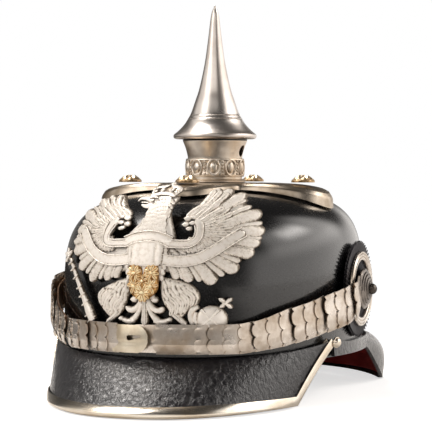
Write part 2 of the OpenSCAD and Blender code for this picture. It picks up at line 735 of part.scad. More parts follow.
// Unit vectors along the strap towards its tip, outwards, and up across its width
function strap_along(angle) = unit(strap_point(angle - 0.5) - strap_point(angle + 0.5));
function strap_out(angle) =
    let(d = strap_along(angle)) unit([-d[1], d[0], 0] - d * ([-d[1], d[0], 0] * d));
function strap_up(angle) = cross(strap_along(angle), strap_out(angle));
function half_width_at(angle) =
    mix(scale_half_width, scale_half_width_front, clamp01(-angle / 60));
function step_at(angle) = norm(strap_point(angle - 0.5) - strap_point(angle + 0.5));

// One scale: from its root angle to its free edge, lobed, arched across and rising towards the edge
scale_across = [-1, -0.8, -0.6, -0.3, 0, 0.3, 0.6, 0.8, 1];
scale_lobes = [-0.4, -0.9, 0.6, 0.7, -0.9, 0.7, 0.6, -0.9, -0.4];
scale_root_lift = 1.5 + 1.2;
scale_edge_lift = 4.7;
scale_arch = 2.2;
function scale_row(angle, lift, lobe) =
    let(
        p = strap_point(angle), u = strap_up(angle), o = strap_out(angle), d = strap_along(angle),
        h = half_width_at(angle)
    )
    [for (i = [0:8]) let(w = scale_across[i])
        p + u * (w * h) + o * (lift - scale_arch * w * w) + d * (lobe * scale_lobes[i])];
module one_scale(root_angle, edge_angle) {
    mid_angle = (root_angle + edge_angle) / 2;
    lap_angle = scale_lap / step_at(edge_angle);
    rows = [[root_angle, scale_root_lift, 0], [mid_angle, mix(scale_root_lift, scale_edge_lift, 0.5), 0],
        [edge_angle - lap_angle, scale_edge_lift, 1]];
    grid_solid([for (r = rows) scale_row(r[0], r[1] + scale_sheet, r[2])],
        [for (r = rows) scale_row(r[0], r[1], r[2])]);
}
module scale_group(from_angle, to_angle, count) {
    color(silver) for (i = [0:count - 1]) {
        one_scale(mix(from_angle, to_angle, i / count), mix(from_angle, to_angle, (i + 1) / count));
    }
}
module leather_strip(from_angle, to_angle) {
    steps = [for (i = [0:4]) mix(from_angle, to_angle, i / 4)];
    function row(angle, lift) =
        [for (w = [-0.66, 0, 0.66])
            strap_point(angle) + strap_up(angle) * (w * half_width_at(angle)) + strap_out(angle) * lift];
    color(tan_leather) grid_solid([for (a = steps) row(a, strap_leather)], [for (a = steps) row(a, 0)]);
}

// Angles where each piece of the strap starts and ends; the boss carries the first
boss_edge_angle = -(cockade_y + 7) / 2.05;
section_starts = concat([boss_edge_angle], hinge_angles);
left_scales_end = -84;
right_scales_end = -79.5;
leather_gap_angle = 0.25;
function section_end(k, last) = k < 5 ? hinge_angles[k] : last;
function section_count(k, last) =
    max(1, round((section_starts[k] - section_end(k, last)) * 2 / 8.7));

module on_side(side) {
    if (side > 0) children();
    else mirror([1, 0, 0]) children();
}
function scales_end(side) = side > 0 ? left_scales_end : right_scales_end;
module chin_scales(side, k) {
    last = scales_end(side);
    on_side(side) scale_group(section_starts[k], section_end(k, last), section_count(k, last));
}
module chin_leather(side, k) {
    first_edge = k == 0 ? 1.2 : -leather_gap_angle;
    last_edge = k < 5 ? leather_gap_angle : 1.3;
    on_side(side) leather_strip(section_starts[k] + first_edge, section_end(k, scales_end(side)) + last_edge);
}
module chin_scales_left_1() { chin_scales(1, 0); }
module chin_scales_left_2() { chin_scales(1, 1); }
module chin_scales_left_3() { chin_scales(1, 2); }
module chin_scales_left_4() { chin_scales(1, 3); }
module chin_scales_left_5() { chin_scales(1, 4); }
module chin_scales_left_6() { chin_scales(1, 5); }
module chin_scales_right_1() { chin_scales(-1, 0); }
module chin_scales_right_2() { chin_scales(-1, 1); }
module chin_scales_right_3() { chin_scales(-1, 2); }
module chin_scales_right_4() { chin_scales(-1, 3); }
module chin_scales_right_5() { chin_scales(-1, 4); }
module chin_scales_right_6() { chin_scales(-1, 5); }
module chin_leather_left_1() { chin_leather(1, 0); }
module chin_leather_left_2() { chin_leather(1, 1); }
module chin_leather_left_3() { chin_leather(1, 2); }
module chin_leather_left_4() { chin_leather(1, 3); }
module chin_leather_left_5() { chin_leather(1, 4); }
module chin_leather_left_6() { chin_leather(1, 5); }
module chin_leather_right_1() { chin_leather(-1, 0); }
module chin_leather_right_2() { chin_leather(-1, 1); }
module chin_leather_right_3() { chin_leather(-1, 2); }
module chin_leather_right_4() { chin_leather(-1, 3); }
module chin_leather_right_5() { chin_leather(-1, 4); }
module chin_leather_right_6() { chin_leather(-1, 5); }

// Boss: a ribbed dome on the cockade's screw, from which the scales start
module chin_boss(side) {
    color(steel) cockade_place(side) translate([0, 0, strap_side_gap]) difference() {
        rotate_extrude($fn = 72) polygon([[0, 0], [boss_r, 0], [boss_r, 0.9], [boss_r - 1, 1.5],
            [boss_r - 2.6, 2.9], [boss_r - 3.4, 2.7], [boss_r - 5.2, 3.9], [boss_r - 6, 3.7],
            [boss_r - 7.6, boss_height], [0, boss_height]]);
        translate([0, 0, -1]) cylinder(r = screw_r + 0.07, h = boss_height + 2);
    }
}
module chin_boss_left() { chin_boss(1); }
module chin_boss_right() { chin_boss(-1); }

// Plain plates at the front: the left one lies under the right one
tongue_end_x = -9;
end_plate_end_x = -3;
function front_angle(x) = -90 - asin(-x / (shell_half_width + strap_gap));
plate_arch = 0.7;
function plate_row(angle, lift, width, arch) =
    [for (w = [-1, -0.8, -0.45, 0, 0.45, 0.8, 1])
        strap_point(angle) + strap_up(angle) * (w * width) + strap_out(angle) * (lift - arch * w * w)];
module front_plate(from_angle, to_angle, lift_from, lift_to, thickness) {
    steps = 9;
    h = scale_half_width_front - 0.6;
    tip = function(k) let(left = clamp01((1 - k) / 0.3)) h * max(0.25, sqrt(1 - pow(1 - left, 2)));
    rows = [for (i = [0:steps]) let(k = i / steps)
        [mix(from_angle, to_angle, k), mix(lift_from, lift_to, smooth((k - 0.16) / 0.22)), tip(k)]];
    function row(r, lift) = plate_row(r[0], lift, r[2], plate_arch * pow(r[2] / h, 2));
    grid_solid([for (r = rows) row(r, r[1] + thickness)], [for (r = rows) row(r, r[1])]);
}
module chin_tongue_left() {
    color(silver) front_plate(left_scales_end + 0.9, front_angle(tongue_end_x), 1.5, 1.5, 0.6);
}
slot_x = 6;
module chin_end_plate_right() {
    color(silver) difference() {
        mirror([1, 0, 0]) front_plate(right_scales_end + 0.9, front_angle(end_plate_end_x), 1.5, 5.2, 0.7);
        for (dx = [0, 2, 4]) {
            translate([-slot_x - dx + 2, -shell_half_length, strap_front_z + 0.4 - dx * 0.15])
                rotate([90, 0, 0]) cylinder(r = 1.5 - dx * 0.15, h = 20);
        }
    }
}

// Sweatband: an upright oval band inside the rim
module sweatband() {
    steps = 48;
    function row(angle, grow) =
        [for (z = [shell_rim_z + 0.5, shell_rim_z + 0.5 + sweatband_height])
            oval(shell_half_width - shell_wall + grow, shell_half_length - shell_wall + grow, angle, z)];
    color(tan_leather) grid_solid([for (i = [0:steps - 1]) row(i * 360 / steps, -0.9)],
        [for (i = [0:steps - 1]) row(i * 360 / steps, -0.9 - sweatband_thickness)], looped = true);
}

// Liner: silk that rises from the sweatband and is gathered round a hole in its top
module silk_liner() {
    steps = 40;
    inset = shell_wall + 0.9 + sweatband_thickness + 0.5;
    foot_z = shell_rim_z + sweatband_height - 8;
    rise = liner_crown_z - foot_z;
    lifts = [0, 15, 32, 48, 63, acos(pow(liner_hole_r / (shell_half_width - inset), 1.5))];
    function row(angle, grow) = [for (lift = lifts)
        [(shell_half_width - inset + grow) * pow(cos(lift), 2 / 3) * cos(angle),
            (shell_half_length - inset + grow) * pow(cos(lift), 2 / 3) * sin(angle),
            foot_z + (rise + grow) * pow(sin(lift), 2 / 3)]];
    color(silk) grid_solid([for (i = [0:steps - 1]) row(i * 360 / steps, 0)],
        [for (i = [0:steps - 1]) row(i * 360 / steps, -liner_thickness)], looped = true);
}

// Eagle plate: shapes laid on a curved surface in front of the skull, mirrored where the real one is.
// They are drawn at their real size on a plate of the drawn width, about its middle
drawn_width = 124;
drawn_middle_z = 90;
plate_k = plate_width / drawn_width;
plate_half_width = shell_half_width + plate_side_gap;
plate_half_length = shell_half_length + plate_front_gap;
plate_crown_z = shell_crown_z + plate_crown_rise;
plate_belt_drop = 10;
plate_belt_z = shell_belt_z - plate_belt_drop;
plate_squareness = 3.2;
function drawn(spot) = [spot[0] * plate_k, plate_middle_z + (spot[1] - drawn_middle_z) * plate_k];
function plate_scale(z) =
    pow(1 - pow(max(0, z - plate_belt_z) / (plate_crown_z - plate_belt_z), plate_squareness),
        1 / plate_squareness);
function plate_point(x, z, lift) =
    let(
        r = plate_scale(z),
        y = -plate_half_length * sqrt(max(0.01, r * r - pow(x / plate_half_width, 2)))
    )
    [x, y, z] + plate_normal(x, y, z) * lift;
function plate_normal(x, y, z) =
    let(e = 0.5, slope = (pow(plate_scale(z + e), 2) - pow(plate_scale(z - e), 2)) / (2 * e))
    unit([2 * x / pow(plate_half_width, 2), 2 * y / pow(plate_half_length, 2), -slope]);
module on_plate(spot, lift = 0) {
    place = drawn(spot);
    p = plate_point(place[0], place[1], 0);
    n = plate_normal(p[0], p[1], p[2]);
    translate(p + n * lift) rotate([0, acos(n[2]), atan2(n[1], n[0])]) children();
}
module pad(spot, r, height) {
    on_plate(spot) scale(plate_k) cylinder(r1 = r, r2 = r * 0.8, h = height, $fn = 6);
}
module pads(a, ra, b, rb, height, height_b) {
    hull() {
        pad(a, ra, height);
        pad(b, rb, height_b);
    }
}

wing_centre = [33, 101];
wing_reach = [25, 24];
module wing(side) {
    for (i = [0:wing_feathers - 1]) {
        a = mix(72, -68, i / (wing_feathers - 1));
        base = wing_centre + [wing_reach[0] * 0.35 * cos(a), wing_reach[1] * 0.35 * sin(a)];
        tip = wing_centre + [wing_reach[0] * cos(a), wing_reach[1] * sin(a)];
        pads([side * base[0], base[1]], 5.5, [side * tip[0], tip[1]], 3.3, 3, plate_sheet);
    }
    // Lower feathers, between the outer row and the breast
    for (x = [34, 27.5, 21]) {
        pads([side * x * 0.8, 92], 5, [side * x, 79], 3.2, 3, plate_sheet);
    }
    // Band across the wing, shoulder, inner curl and its three beads
    pads([side * 8, 91], 6.5, [side * 26, 92], 6, 4, 3.4);
    pads([side * 26, 92], 6, [side * 38, 102], 7, 3.4, 3);
    pads([side * 38, 102], 7, [side * 34, 116], 6, 3, 2.6);
    pads([side * 34, 116], 5, [side * 26, 113], 4, 2.6, 2.8);
    pads([side * 26, 113], 3.6, [side * 19.5, 112], 2.4, 2.8, 2.4);
    pads([side * 22, 107.5], 2.4, [side * 25, 110], 2.4, 2.6, 2.4);
}
module leg(side) {
    pads([side * 11, 75], 5, [side * 22, 66.5], 7.5, 3.6, 3.6);
    pads([side * 22, 66.5], 7.5, [side * 23.5, 60], 4, 3.6, 3);
    pads([side * 23.5, 60], 3.2, [side * 19, 55.4], 1.8, 3, 2.4);
}
module eagle_body() {
    pads([0, 101], 12, [0, 84], 11, 4.4, 4.6);
    pads([0, 84], 11, [0, 72], 8, 4.6, 3.6);
    pads([0, 106], 9, [2, 116], 6.4, 4.4, 4.2);
    pads([2, 116], 6.6, [2, 120], 6, 4.2, 4.4);
    pads([-3, 119.5], 3.4, [-11, 119.4], 1.5, 4, 3);
    pads([-3, 117], 2.6, [-8, 116], 1.2, 3.6, 2.6);
    pads([3.5, 124], 4.6, [3.5, 127], 5.8, 3.6, 3);
}
module tail() {
    pads([0, 70], 4, [0, 58], 2.2, 3, 2.4);
    for (side = [-1, 1]) {
        pads([side * 1, 64], 2, [side * 13, 57], 1.7, 2.8, 2.2);
        pads([side * 2, 67], 1.8, [side * 8, 65.5], 2.4, 2.6, 2.4);
        pads([side * 1, 60], 2, [side * 8, 55.6], 1.6, 2.6, 2.2);
    }
}
module sceptre_and_orb() {
    pads([-39, 55], 3, [-50, 71], 2.4, 3, 2.8);
    pads([-50, 71], 2.2, [-60, 86], 2, 2.8, 2.6);
    pads([-56, 88], 2, [-68, 86.5], 2, 2.4, 2.4);
    pads([-24, 56], 2, [-39, 58], 1.8, 2.2, 2.4);
    pads([35, 59.6], 6.2, [35.5, 59.8], 6.2, 4, 4);
    pads([40, 63], 1.4, [43.5, 66.5], 1.6, 2.4, 2.4);
    pads([22, 57], 2, [30, 58.5], 2.4, 2.4, 3);
}
post_spots = [[22, 84], [-22, 84]];
module post_place(side) {
    spot = drawn(side > 0 ? post_spots[0] : post_spots[1]);
    y = -shell_half_length * sqrt(1 - pow(spot[0] / shell_half_width, 2));
    turn = atan2(y / pow(shell_half_length, 2), spot[0] / pow(shell_half_width, 2));
    translate([spot[0], y, spot[1]]) rotate([0, 90, turn]) children();
}
module eagle_plate() {
    color(silver) {
        eagle_body();
        tail();
        sceptre_and_orb();
        for (side = [-1, 1]) {
            wing(side);
            leg(side);
        }
    }
}

// Posts behind the plate, and the nuts that draw them tight inside the skull
post_nut_gap = 3.8;
post_lift = 0.5;
module plate_posts() {
    below = shell_wall + post_nut_gap + nut_height + 0.6;
    color(brass) for (side = [-1, 1]) {
        post_place(side) translate([0, 0, -below]) cylinder(r = post_r, h = below + post_lift);
    }
}
module eagle_nuts() {
    color(brass) for (side = [-1, 1]) {
        post_place(side) translate([0, 0, -shell_wall - post_nut_gap - nut_height])
            square_nut(post_r + 0.1);
    }
}

// Gilt leaves on the eagle's breast
ornament_lift = 5.3;
ornament_spot = [0, 75];
ornament_r = 5.2;
module breast_ornament() {
    color(gilt) {
        for (leaf = [[-5.6, 79, 3], [5.2, 79.4, 3], [0, 73.4, 4], [0, 67.6, 2.2]]) {
            on_plate([leaf[0], leaf[1]], ornament_lift)
                scale(plate_k) cylinder(r1 = leaf[2], r2 = leaf[2] * 0.7, h = 1.4);
        }
        on_plate(ornament_spot, ornament_lift) scale(plate_k) cylinder(r = ornament_r, h = 0.9);
    }
}

skull_shell();
front_visor();
front_visor_lining();
front_visor_trim();
trim_knobs();
rear_visor();
rear_visor_lining();
rear_spine();
spine_pins();
cross_base();
base_star_studs();
base_stud_nuts();
pearl_ring();
spike_neck();
thread_ring();
spike_washer();
spike();
eagle_plate();
plate_posts();
breast_ornament();
eagle_nuts();
cockade_disc_left();
cockade_disc_right();
cockade_ring_left();
cockade_ring_right();
cockade_screws();
cockade_nuts();
sweatband();
silk_liner();
chin_boss_left();
chin_boss_right();
chin_scales_left_1();
chin_scales_left_2();
chin_scales_left_3();
chin_scales_left_4();
chin_scales_left_5();
chin_scales_left_6();
chin_scales_right_1();
chin_scales_right_2();
chin_scales_right_3();
chin_scales_right_4();
chin_scales_right_5();
chin_scales_right_6();
chin_leather_left_1();
chin_leather_left_2();
chin_leather_left_3();
chin_leather_left_4();
chin_leather_left_5();
chin_leather_left_6();
chin_leather_right_1();
chin_leather_right_2();
chin_leather_right_3();
chin_leather_right_4();
chin_leather_right_5();
chin_leather_right_6();
chin_tongue_left();
chin_end_plate_right();
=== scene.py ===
import math
from math import acos, atan2, cos, exp, pi, radians, sin, sqrt

import bmesh
import bpy
from mathutils import Matrix, Vector


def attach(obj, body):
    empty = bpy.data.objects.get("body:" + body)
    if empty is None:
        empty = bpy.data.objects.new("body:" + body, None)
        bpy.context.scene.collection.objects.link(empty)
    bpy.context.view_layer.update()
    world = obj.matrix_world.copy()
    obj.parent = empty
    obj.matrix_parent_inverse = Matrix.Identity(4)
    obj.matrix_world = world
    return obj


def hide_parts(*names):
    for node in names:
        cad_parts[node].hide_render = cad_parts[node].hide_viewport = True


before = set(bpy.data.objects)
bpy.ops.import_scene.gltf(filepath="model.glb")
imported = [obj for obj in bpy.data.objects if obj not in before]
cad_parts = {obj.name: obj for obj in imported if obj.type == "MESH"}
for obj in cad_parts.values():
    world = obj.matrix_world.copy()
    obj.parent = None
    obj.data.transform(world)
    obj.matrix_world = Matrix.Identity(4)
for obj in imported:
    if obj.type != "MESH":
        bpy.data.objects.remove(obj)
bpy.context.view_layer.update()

# Sizes in mm and angles in degrees, the same as in the part's source; the scene's own unit is the metre
MM = 0.001
SKULL_A, SKULL_B = 91.0, 110.0
RIM_Z, BELT_Z, CROWN_Z = 26.0, 60.0, 125.0
SQUARENESS, SQUARE_SHIFT = 3.8, 0.6
WALL, HOLE_R = 2.6, 12.0
SEAT, FLAT = 0.5, 0.3
VISOR, LINING = 2.4, 0.9
FRONT_REACH, FRONT_HALF, FRONT_CORNER, EDGE_SQ = 150.4, 86.5, 26.5, 2.2
CORNER_Z, LIP_Z, SPLIT, ROOT_SIDE_Z, ROOT_Z = 2.6, 3.5, 18.5, 37.0, 31.0
FRONT_CROWN, STAND_OFF = 1.5, 2.1
TRIM_LAP, TRIM_WALL, TRIM_GAP, KNOB_R = 4.6, 0.6, 0.4, 3.4
TRIM_NOSE = TRIM_GAP + TRIM_WALL + 0.5
TRIM_INNER = VISOR / 2 + TRIM_GAP
TRIM_OUTER = TRIM_INNER + TRIM_WALL
REAR_REACH, REAR_HALF, STRIP_Z, FLARE = 150.0, 105.0, 27.0, 3.6
SWELL, SWELL_POWER = 9.0, 0.7
GUARD_START, GUARD_DROP, REAR_ROOT_Z = 13.0, 23.0, 34.4
SPINE_HALF, SPINE_RISE = 4.5, 1.3
ARM_SIDE, ARM_FRONT, ARM_REAR, ARM_HALF = 77.5, 66.0, 90.0, 24.0
HUB_Z, BASE_SHEET, STUD_IN, STUD_R = 130.0, 1.2, 19.0, 7.3
NECK_R, MOUTH_R, NECK_H, FOOT_R = 17.2, 20.3, 26.4, 19.4
NECK_WALL, VENT_R = 1.2, 3.6
PEARL_RING_Z, PEARL_RING_H, PEARLS = HUB_Z + 3.8, 11.4, 10
FLANGE_R, SPIKE_H, STUB_R, STUB_LENGTH = 26.3, 84.2, 7.0, 20.0
COCKADE_Y, COCKADE_Z, COCKADE_R, COCKADE_T, TEETH = 4.0, 65.0, 29.6, 2.4, 60
RING_R, RING_BAND, RING_T = 23.0, 5.4, 1.8
STRAP_W, STRAP_W_FRONT, STRAP_Z, STRAP_GAP = 12.0, 9.8, 42.7, 3.6
SIDE_GAP = SEAT + COCKADE_T + FLAT + RING_T + FLAT
SCALE_SHEET, SCALE_LAP, SCALE_PITCH = 0.6, 2.0, 8.7
STRAP_START = -(COCKADE_Y + 7) / 2.05
FOLDS = [-11.0, -24.5, -38.0, -52.0, -66.5]
LEFT_END, RIGHT_END = -84.0, -80.4
SWEATBAND_H, LINER_CROWN_Z, LINER_HOLE_R = 32.0, 104.0, 20.0
PLATE_A, PLATE_B, PLATE_BELT, PLATE_CROWN, PLATE_SQ = 94.2, 113.0, 50.0, 139.0, 3.1

UP, DOWN, BACK, FRONT = Vector((0, 0, 1)), Vector((0, 0, -1)), Vector((0, 1, 0)), Vector((0, -1, 0))


def clamp01(k):
    return min(1.0, max(0.0, k))


def smooth(k):
    c = clamp01(k)
    return c * c * (3 - 2 * c)


def mix(a, b, k):
    return a + (b - a) * k


def dsin(a):
    return sin(radians(a))


def dcos(a):
    return cos(radians(a))


# Making meshes

def deselect():
    bpy.ops.object.select_all(action="DESELECT")


def picked(piece):
    deselect()
    piece.select_set(True)
    bpy.context.view_layer.objects.active = piece


def named(name):
    piece = bpy.context.object
    piece.name = name
    piece.data.name = name
    return piece


def tidy_mesh(piece, fill=False):
    """Merges points that fall together and turns all faces outwards"""
    picked(piece)
    bpy.ops.object.mode_set(mode="EDIT")
    bpy.ops.mesh.select_all(action="SELECT")
    bpy.ops.mesh.remove_doubles(threshold=0.01 * MM)
    if fill:
        bpy.ops.mesh.fill_holes(sides=0)
        bpy.ops.mesh.select_all(action="SELECT")
    bpy.ops.mesh.normals_make_consistent(inside=False)
    bpy.ops.object.mode_set(mode="OBJECT")
    return piece


def apply_modifier(piece, kind, **settings):
    picked(piece)
    modifier = piece.modifiers.new(kind.lower(), kind)
    for key, value in settings.items():
        setattr(modifier, key, value)
    bpy.ops.object.modifier_apply(modifier=modifier.name)


def thickened(piece, wall, face, way, offset=-1):
    """Turns a surface so that its numbered face looks the given way, then gives it a wall in mm"""
    if piece.data.polygons[face].normal.dot(way) < 0:
        piece.data.flip_normals()
    apply_modifier(piece, "SOLIDIFY", thickness=wall * MM, offset=offset)


def rounded(piece, width):
    """Rounds the sharp edges of a thick leather piece"""
    apply_modifier(piece, "BEVEL", width=width * MM, segments=3, angle_limit=radians(60))


def laid(name, columns, rows, place, fill=False):
    """A grid primitive whose corners are carried to the surface place(u, v), in mm"""
    deselect()
    bpy.ops.mesh.primitive_grid_add(x_subdivisions=columns, y_subdivisions=rows, size=1)
    piece = named(name)
    for v in piece.data.vertices:
        x, y, z = place(clamp01(v.co.x + 0.5), clamp01(v.co.y + 0.5))
        v.co = (x * MM, y * MM, z * MM)
    return tidy_mesh(piece, fill)


def turned(name, outline, steps, closed=True):
    """An outline of (radius, height) in mm, made from a circle primitive and spun about Z"""
    deselect()
    bpy.ops.mesh.primitive_circle_add(vertices=len(outline), radius=0.01, fill_type="NOTHING")
    piece = named(name)
    for v, (r, z) in zip(piece.data.vertices, outline):
        v.co = (r * MM, 0, z * MM)
    bpy.ops.object.mode_set(mode="EDIT")
    if not closed:
        bm = bmesh.from_edit_mesh(piece.data)
        bm.verts.ensure_lookup_table()
        a, b = bm.verts[0], bm.verts[len(outline) - 1]
        bm.edges.remove(bm.edges.get((a, b)))
        bmesh.update_edit_mesh(piece.data)
    bpy.ops.mesh.select_all(action="SELECT")
    bpy.ops.mesh.spin(steps=steps, angle=2 * pi, center=(0, 0, 0), axis=(0, 0, 1))
    bpy.ops.object.mode_set(mode="OBJECT")
    return tidy_mesh(piece)


def curve_through(points, per):
    """A smooth run of points through the given ones, so many to each stretch"""
    out = []
    for i in range(len(points) - 1):
        p0, p1 = points[max(0, i - 1)], points[i]
        p2, p3 = points[i + 1], points[min(len(points) - 1, i + 2)]
        for j in range(per):
            t = j / per
            out.append(tuple(
                0.5 * (2 * b + (c - a) * t + (2 * a - 5 * b + 4 * c - d) * t * t
                       + (3 * b - a - 3 * c + d) * t ** 3)
                for a, b, c, d in zip(p0, p1, p2, p3)))
    out.append(tuple(points[-1]))
    return out


def joined(name, parts):
    deselect()
    for p in parts:
        p.select_set(True)
    bpy.context.view_layer.objects.active = parts[0]
    if len(parts) > 1:
        bpy.ops.object.join()
    return named(name)


def at(x, y, z):
    return Matrix.Translation((x * MM, y * MM, z * MM))


def moved(piece, matrix):
    piece.data.transform(matrix)
    if matrix.determinant() < 0:
        piece.data.flip_normals()
    return piece


def copy_of(piece, name, matrix):
    other = piece.copy()
    other.data = piece.data.copy()
    other.name = name
    other.data.name = name
    bpy.context.scene.collection.objects.link(other)
    return moved(other, matrix)


def cut(piece, cutter):
    apply_modifier(piece, "BOOLEAN", operation="DIFFERENCE", object=cutter, solver="EXACT")
    bpy.data.objects.remove(cutter)


def finished(piece, material, body, nodes, angle=40):
    """Shades a piece, gives it its material, hangs it on the body it rides on and hides the CAD nodes it
    stands for
    """
    picked(piece)
    bpy.ops.object.shade_smooth_by_angle(angle=radians(angle))
    piece.data.materials.clear()
    piece.data.materials.append(material)
    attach(piece, body)
    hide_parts(*nodes)


# Materials

def linear(hex_colour):
    parts = [int(hex_colour[i:i + 2], 16) / 255 for i in (0, 2, 4)]
    return tuple(c / 12.92 if c <= 0.04045 else ((c + 0.055) / 1.055) ** 2.4 for c in parts) + (1,)


def add_node(tree, kind, links=None, **settings):
    """One node with its settings; links maps an input to a value or to another node's output"""
    made = tree.nodes.new(kind)
    for key, value in settings.items():
        setattr(made, key, value)
    for key, value in (links or {}).items():
        if isinstance(value, bpy.types.NodeSocket):
            tree.links.new(value, made.inputs[key])
        else:
            made.inputs[key].default_value = value
    return made


def noise(tree, where, scale, detail, **more):
    links = {"Vector": where, "Scale": scale, "Detail": detail, **more}
    return add_node(tree, "ShaderNodeTexNoise", links).outputs["Fac"]


def bump(tree, height, strength, depth, under=None):
    """Relief of the given depth in mm, laid over the relief under it"""
    links = {"Height": height, "Strength": strength, "Distance": depth * MM}
    if under is not None:
        links["Normal"] = under
    return add_node(tree, "ShaderNodeBump", links).outputs[0]


def spread(tree, value, low, high, to_low=0.0, to_high=1.0, **settings):
    """Carries what lies between low and high to the second pair of limits"""
    links = {"Value": value, "From Min": low, "From Max": high, "To Min": to_low, "To Max": to_high}
    return add_node(tree, "ShaderNodeMapRange", links, **settings).outputs[0]


def shades(tree, value, *stops):
    """A run of colours; each stop is a place between 0 and 1 and a colour"""
    made = add_node(tree, "ShaderNodeValToRGB", {"Fac": value})
    elements = made.color_ramp.elements
    while len(elements) < len(stops):
        elements.new(0.5)
    for element, (place, colour) in zip(elements, stops):
        element.position = place
        element.color = linear(colour)
    return made.outputs[0]


def calc(tree, operation, *values):
    return add_node(tree, "ShaderNodeMath", dict(enumerate(values)), operation=operation).outputs[0]


def mixed(tree, share, first, second):
    return add_node(tree, "ShaderNodeMixShader", {0: share, 1: first, 2: second}).outputs[0]


def new_material(name):
    made = bpy.data.materials.new(name)
    made.use_nodes = True
    tree = made.node_tree
    tree.nodes.clear()
    where = add_node(tree, "ShaderNodeTexCoord").outputs["Object"]
    return made, tree, where


def surfaced(made, colour, rough, relief, more=None):
    """Closes a material with the main shader"""
    links = {"Base Color": colour, "Roughness": rough, "Normal": relief, **(more or {})}
    shader = add_node(made.node_tree, "ShaderNodeBsdfPrincipled", links)
    add_node(made.node_tree, "ShaderNodeOutputMaterial", {"Surface": shader.outputs[0]})
    return made


def lacquered_leather():
    # Calf leather blocked on a form, blackened and lacquered in many coats: a deep mirror with slow waves
    made, tree, where = new_material("lacquered_skull_leather")
    waves = noise(tree, where, 34.0, 2.0)
    peel = noise(tree, where, 620.0, 3.0)
    relief = bump(tree, waves, 0.10, 4.0)
    relief = bump(tree, peel, 0.06, 0.4, relief)
    colour = shades(tree, waves, (0.35, "050506"), (0.7, "0b0a0b"))
    rough = spread(tree, peel, 0.3, 0.7, 0.2, 0.3)
    return surfaced(made, colour, rough, relief, {
        "Coat Weight": 1.0, "Coat Roughness": 0.1, "Coat IOR": 1.5, "Specular IOR Level": 0.45})


def visor_leather():
    # Vegetable-tanned leather, pressed and lacquered, with creases where the lacquer has cracked
    made, tree, where = new_material("creased_visor_leather")
    drawn = add_node(tree, "ShaderNodeMapping", {
        "Vector": where, "Scale": (1.5, 1.5, 1.1), "Rotation": (0.0, 0.3, 0.5)}).outputs[0]
    folds = noise(tree, drawn, 230.0, 5.0, Roughness=0.6, Distortion=0.7)
    cracks = add_node(tree, "ShaderNodeTexVoronoi", {
        "Vector": drawn, "Scale": 150.0}, feature="DISTANCE_TO_EDGE").outputs["Distance"]
    grain = noise(tree, where, 900.0, 4.0)
    relief = bump(tree, folds, 1.0, 0.8)
    relief = bump(tree, spread(tree, cracks, 0.0, 0.12), 0.14, 0.5, relief)
    relief = bump(tree, grain, 0.22, 0.4, relief)
    colour = shades(tree, folds, (0.3, "0e0d10"), (0.62, "1c1a1e"))
    return surfaced(made, colour, 0.3, relief, {
        "Coat Weight": 1.0, "Coat Roughness": 0.09, "Coat Normal": relief, "Specular IOR Level": 0.25})


def dyed_leather(name, dark, light, rough, grain_size=0.0011):
    # Thin skiver leather, dyed through and glued down: even colour, fine grain and a soft shine
    made, tree, where = new_material(name)
    grain = add_node(tree, "ShaderNodeTexVoronoi", {"Vector": where, "Scale": 1 / grain_size})
    relief = bump(tree, grain.outputs["Distance"], 0.3, 0.3)
    colour = shades(tree, noise(tree, where, 45.0, 5.0), (0.32, dark), (0.68, light))
    return surfaced(made, colour, rough, relief)


def silver_plate(name, bright, dull, rough_low, rough_high, stain_size=0.03, streak=(1.0, 1.0, 1.0)):
    # Silver plate on brass, polished by hand for years: bright, with warm tarnish and hairline scratches
    made, tree, where = new_material(name)
    tarnish = noise(tree, where, 1 / stain_size, 6.0, Roughness=0.6)
    drawn = add_node(tree, "ShaderNodeMapping", {"Vector": where, "Scale": streak}).outputs[0]
    relief = bump(tree, noise(tree, drawn, 700.0, 3.0), 0.07, 0.3)
    colour = shades(tree, tarnish, (0.36, dull), (0.6, bright))
    rough = spread(tree, tarnish, 0.35, 0.65, rough_high, rough_low)
    return surfaced(made, colour, rough, relief, {"Metallic": 1.0})


def frosted_metal(name, painted_recess_shade, body, crest, rough_low, rough_high, metallic):
    # Stamped plate dipped in acid for a frosted skin: pale and grainy, with specks of dirt; painted shade
    # darkens the recesses and painted highlight lightens the crests, taken from the mesh's relief values
    made, tree, where = new_material(name)
    # The relief value carries painted shade (0, deep in the relief) and painted highlight (1, on the crest)
    depth = add_node(tree, "ShaderNodeAttribute", attribute_name="relief").outputs["Fac"]
    speck = noise(tree, where, 520.0, 3.0, Roughness=0.7)
    dirt = spread(tree, speck, 0.34, 0.62, -0.45, 0.12)
    worn = calc(tree, "MULTIPLY_ADD", noise(tree, where, 60.0, 5.0), 0.3, dirt)
    shade = calc(tree, "ADD", depth, worn)
    # The colour runs from painted shade in the recesses through the plate's colour to a painted highlight on
    # the crests
    colour = shades(tree, shade, (0.14, painted_recess_shade), (0.5, body), (0.98, crest))
    relief = bump(tree, noise(tree, where, 1100.0, 3.0), 0.3, 0.3)
    rough = spread(tree, depth, 0.2, 1.0, rough_high, rough_low)
    return surfaced(made, colour, rough, relief, {"Metallic": metallic})


def woven_silk():
    # Plain-woven silk lining, 0.5 mm threads drawn as 1 mm so that they show
    made, tree, where = new_material("plain_woven_silk")
    threads = [add_node(tree, "ShaderNodeTexWave", {"Vector": where, "Scale": 320.0}, bands_direction=way)
               for way in ("Z", "X")]
    cross = calc(tree, "MULTIPLY", *[thread.outputs["Fac"] for thread in threads])
    colour = shades(tree, noise(tree, where, 30.0, 5.0), (0.3, "a8936c"), (0.7, "cdbd98"))
    return surfaced(made, colour, 0.55, bump(tree, cross, 0.3, 0.3), {"Sheen Weight": 0.3})


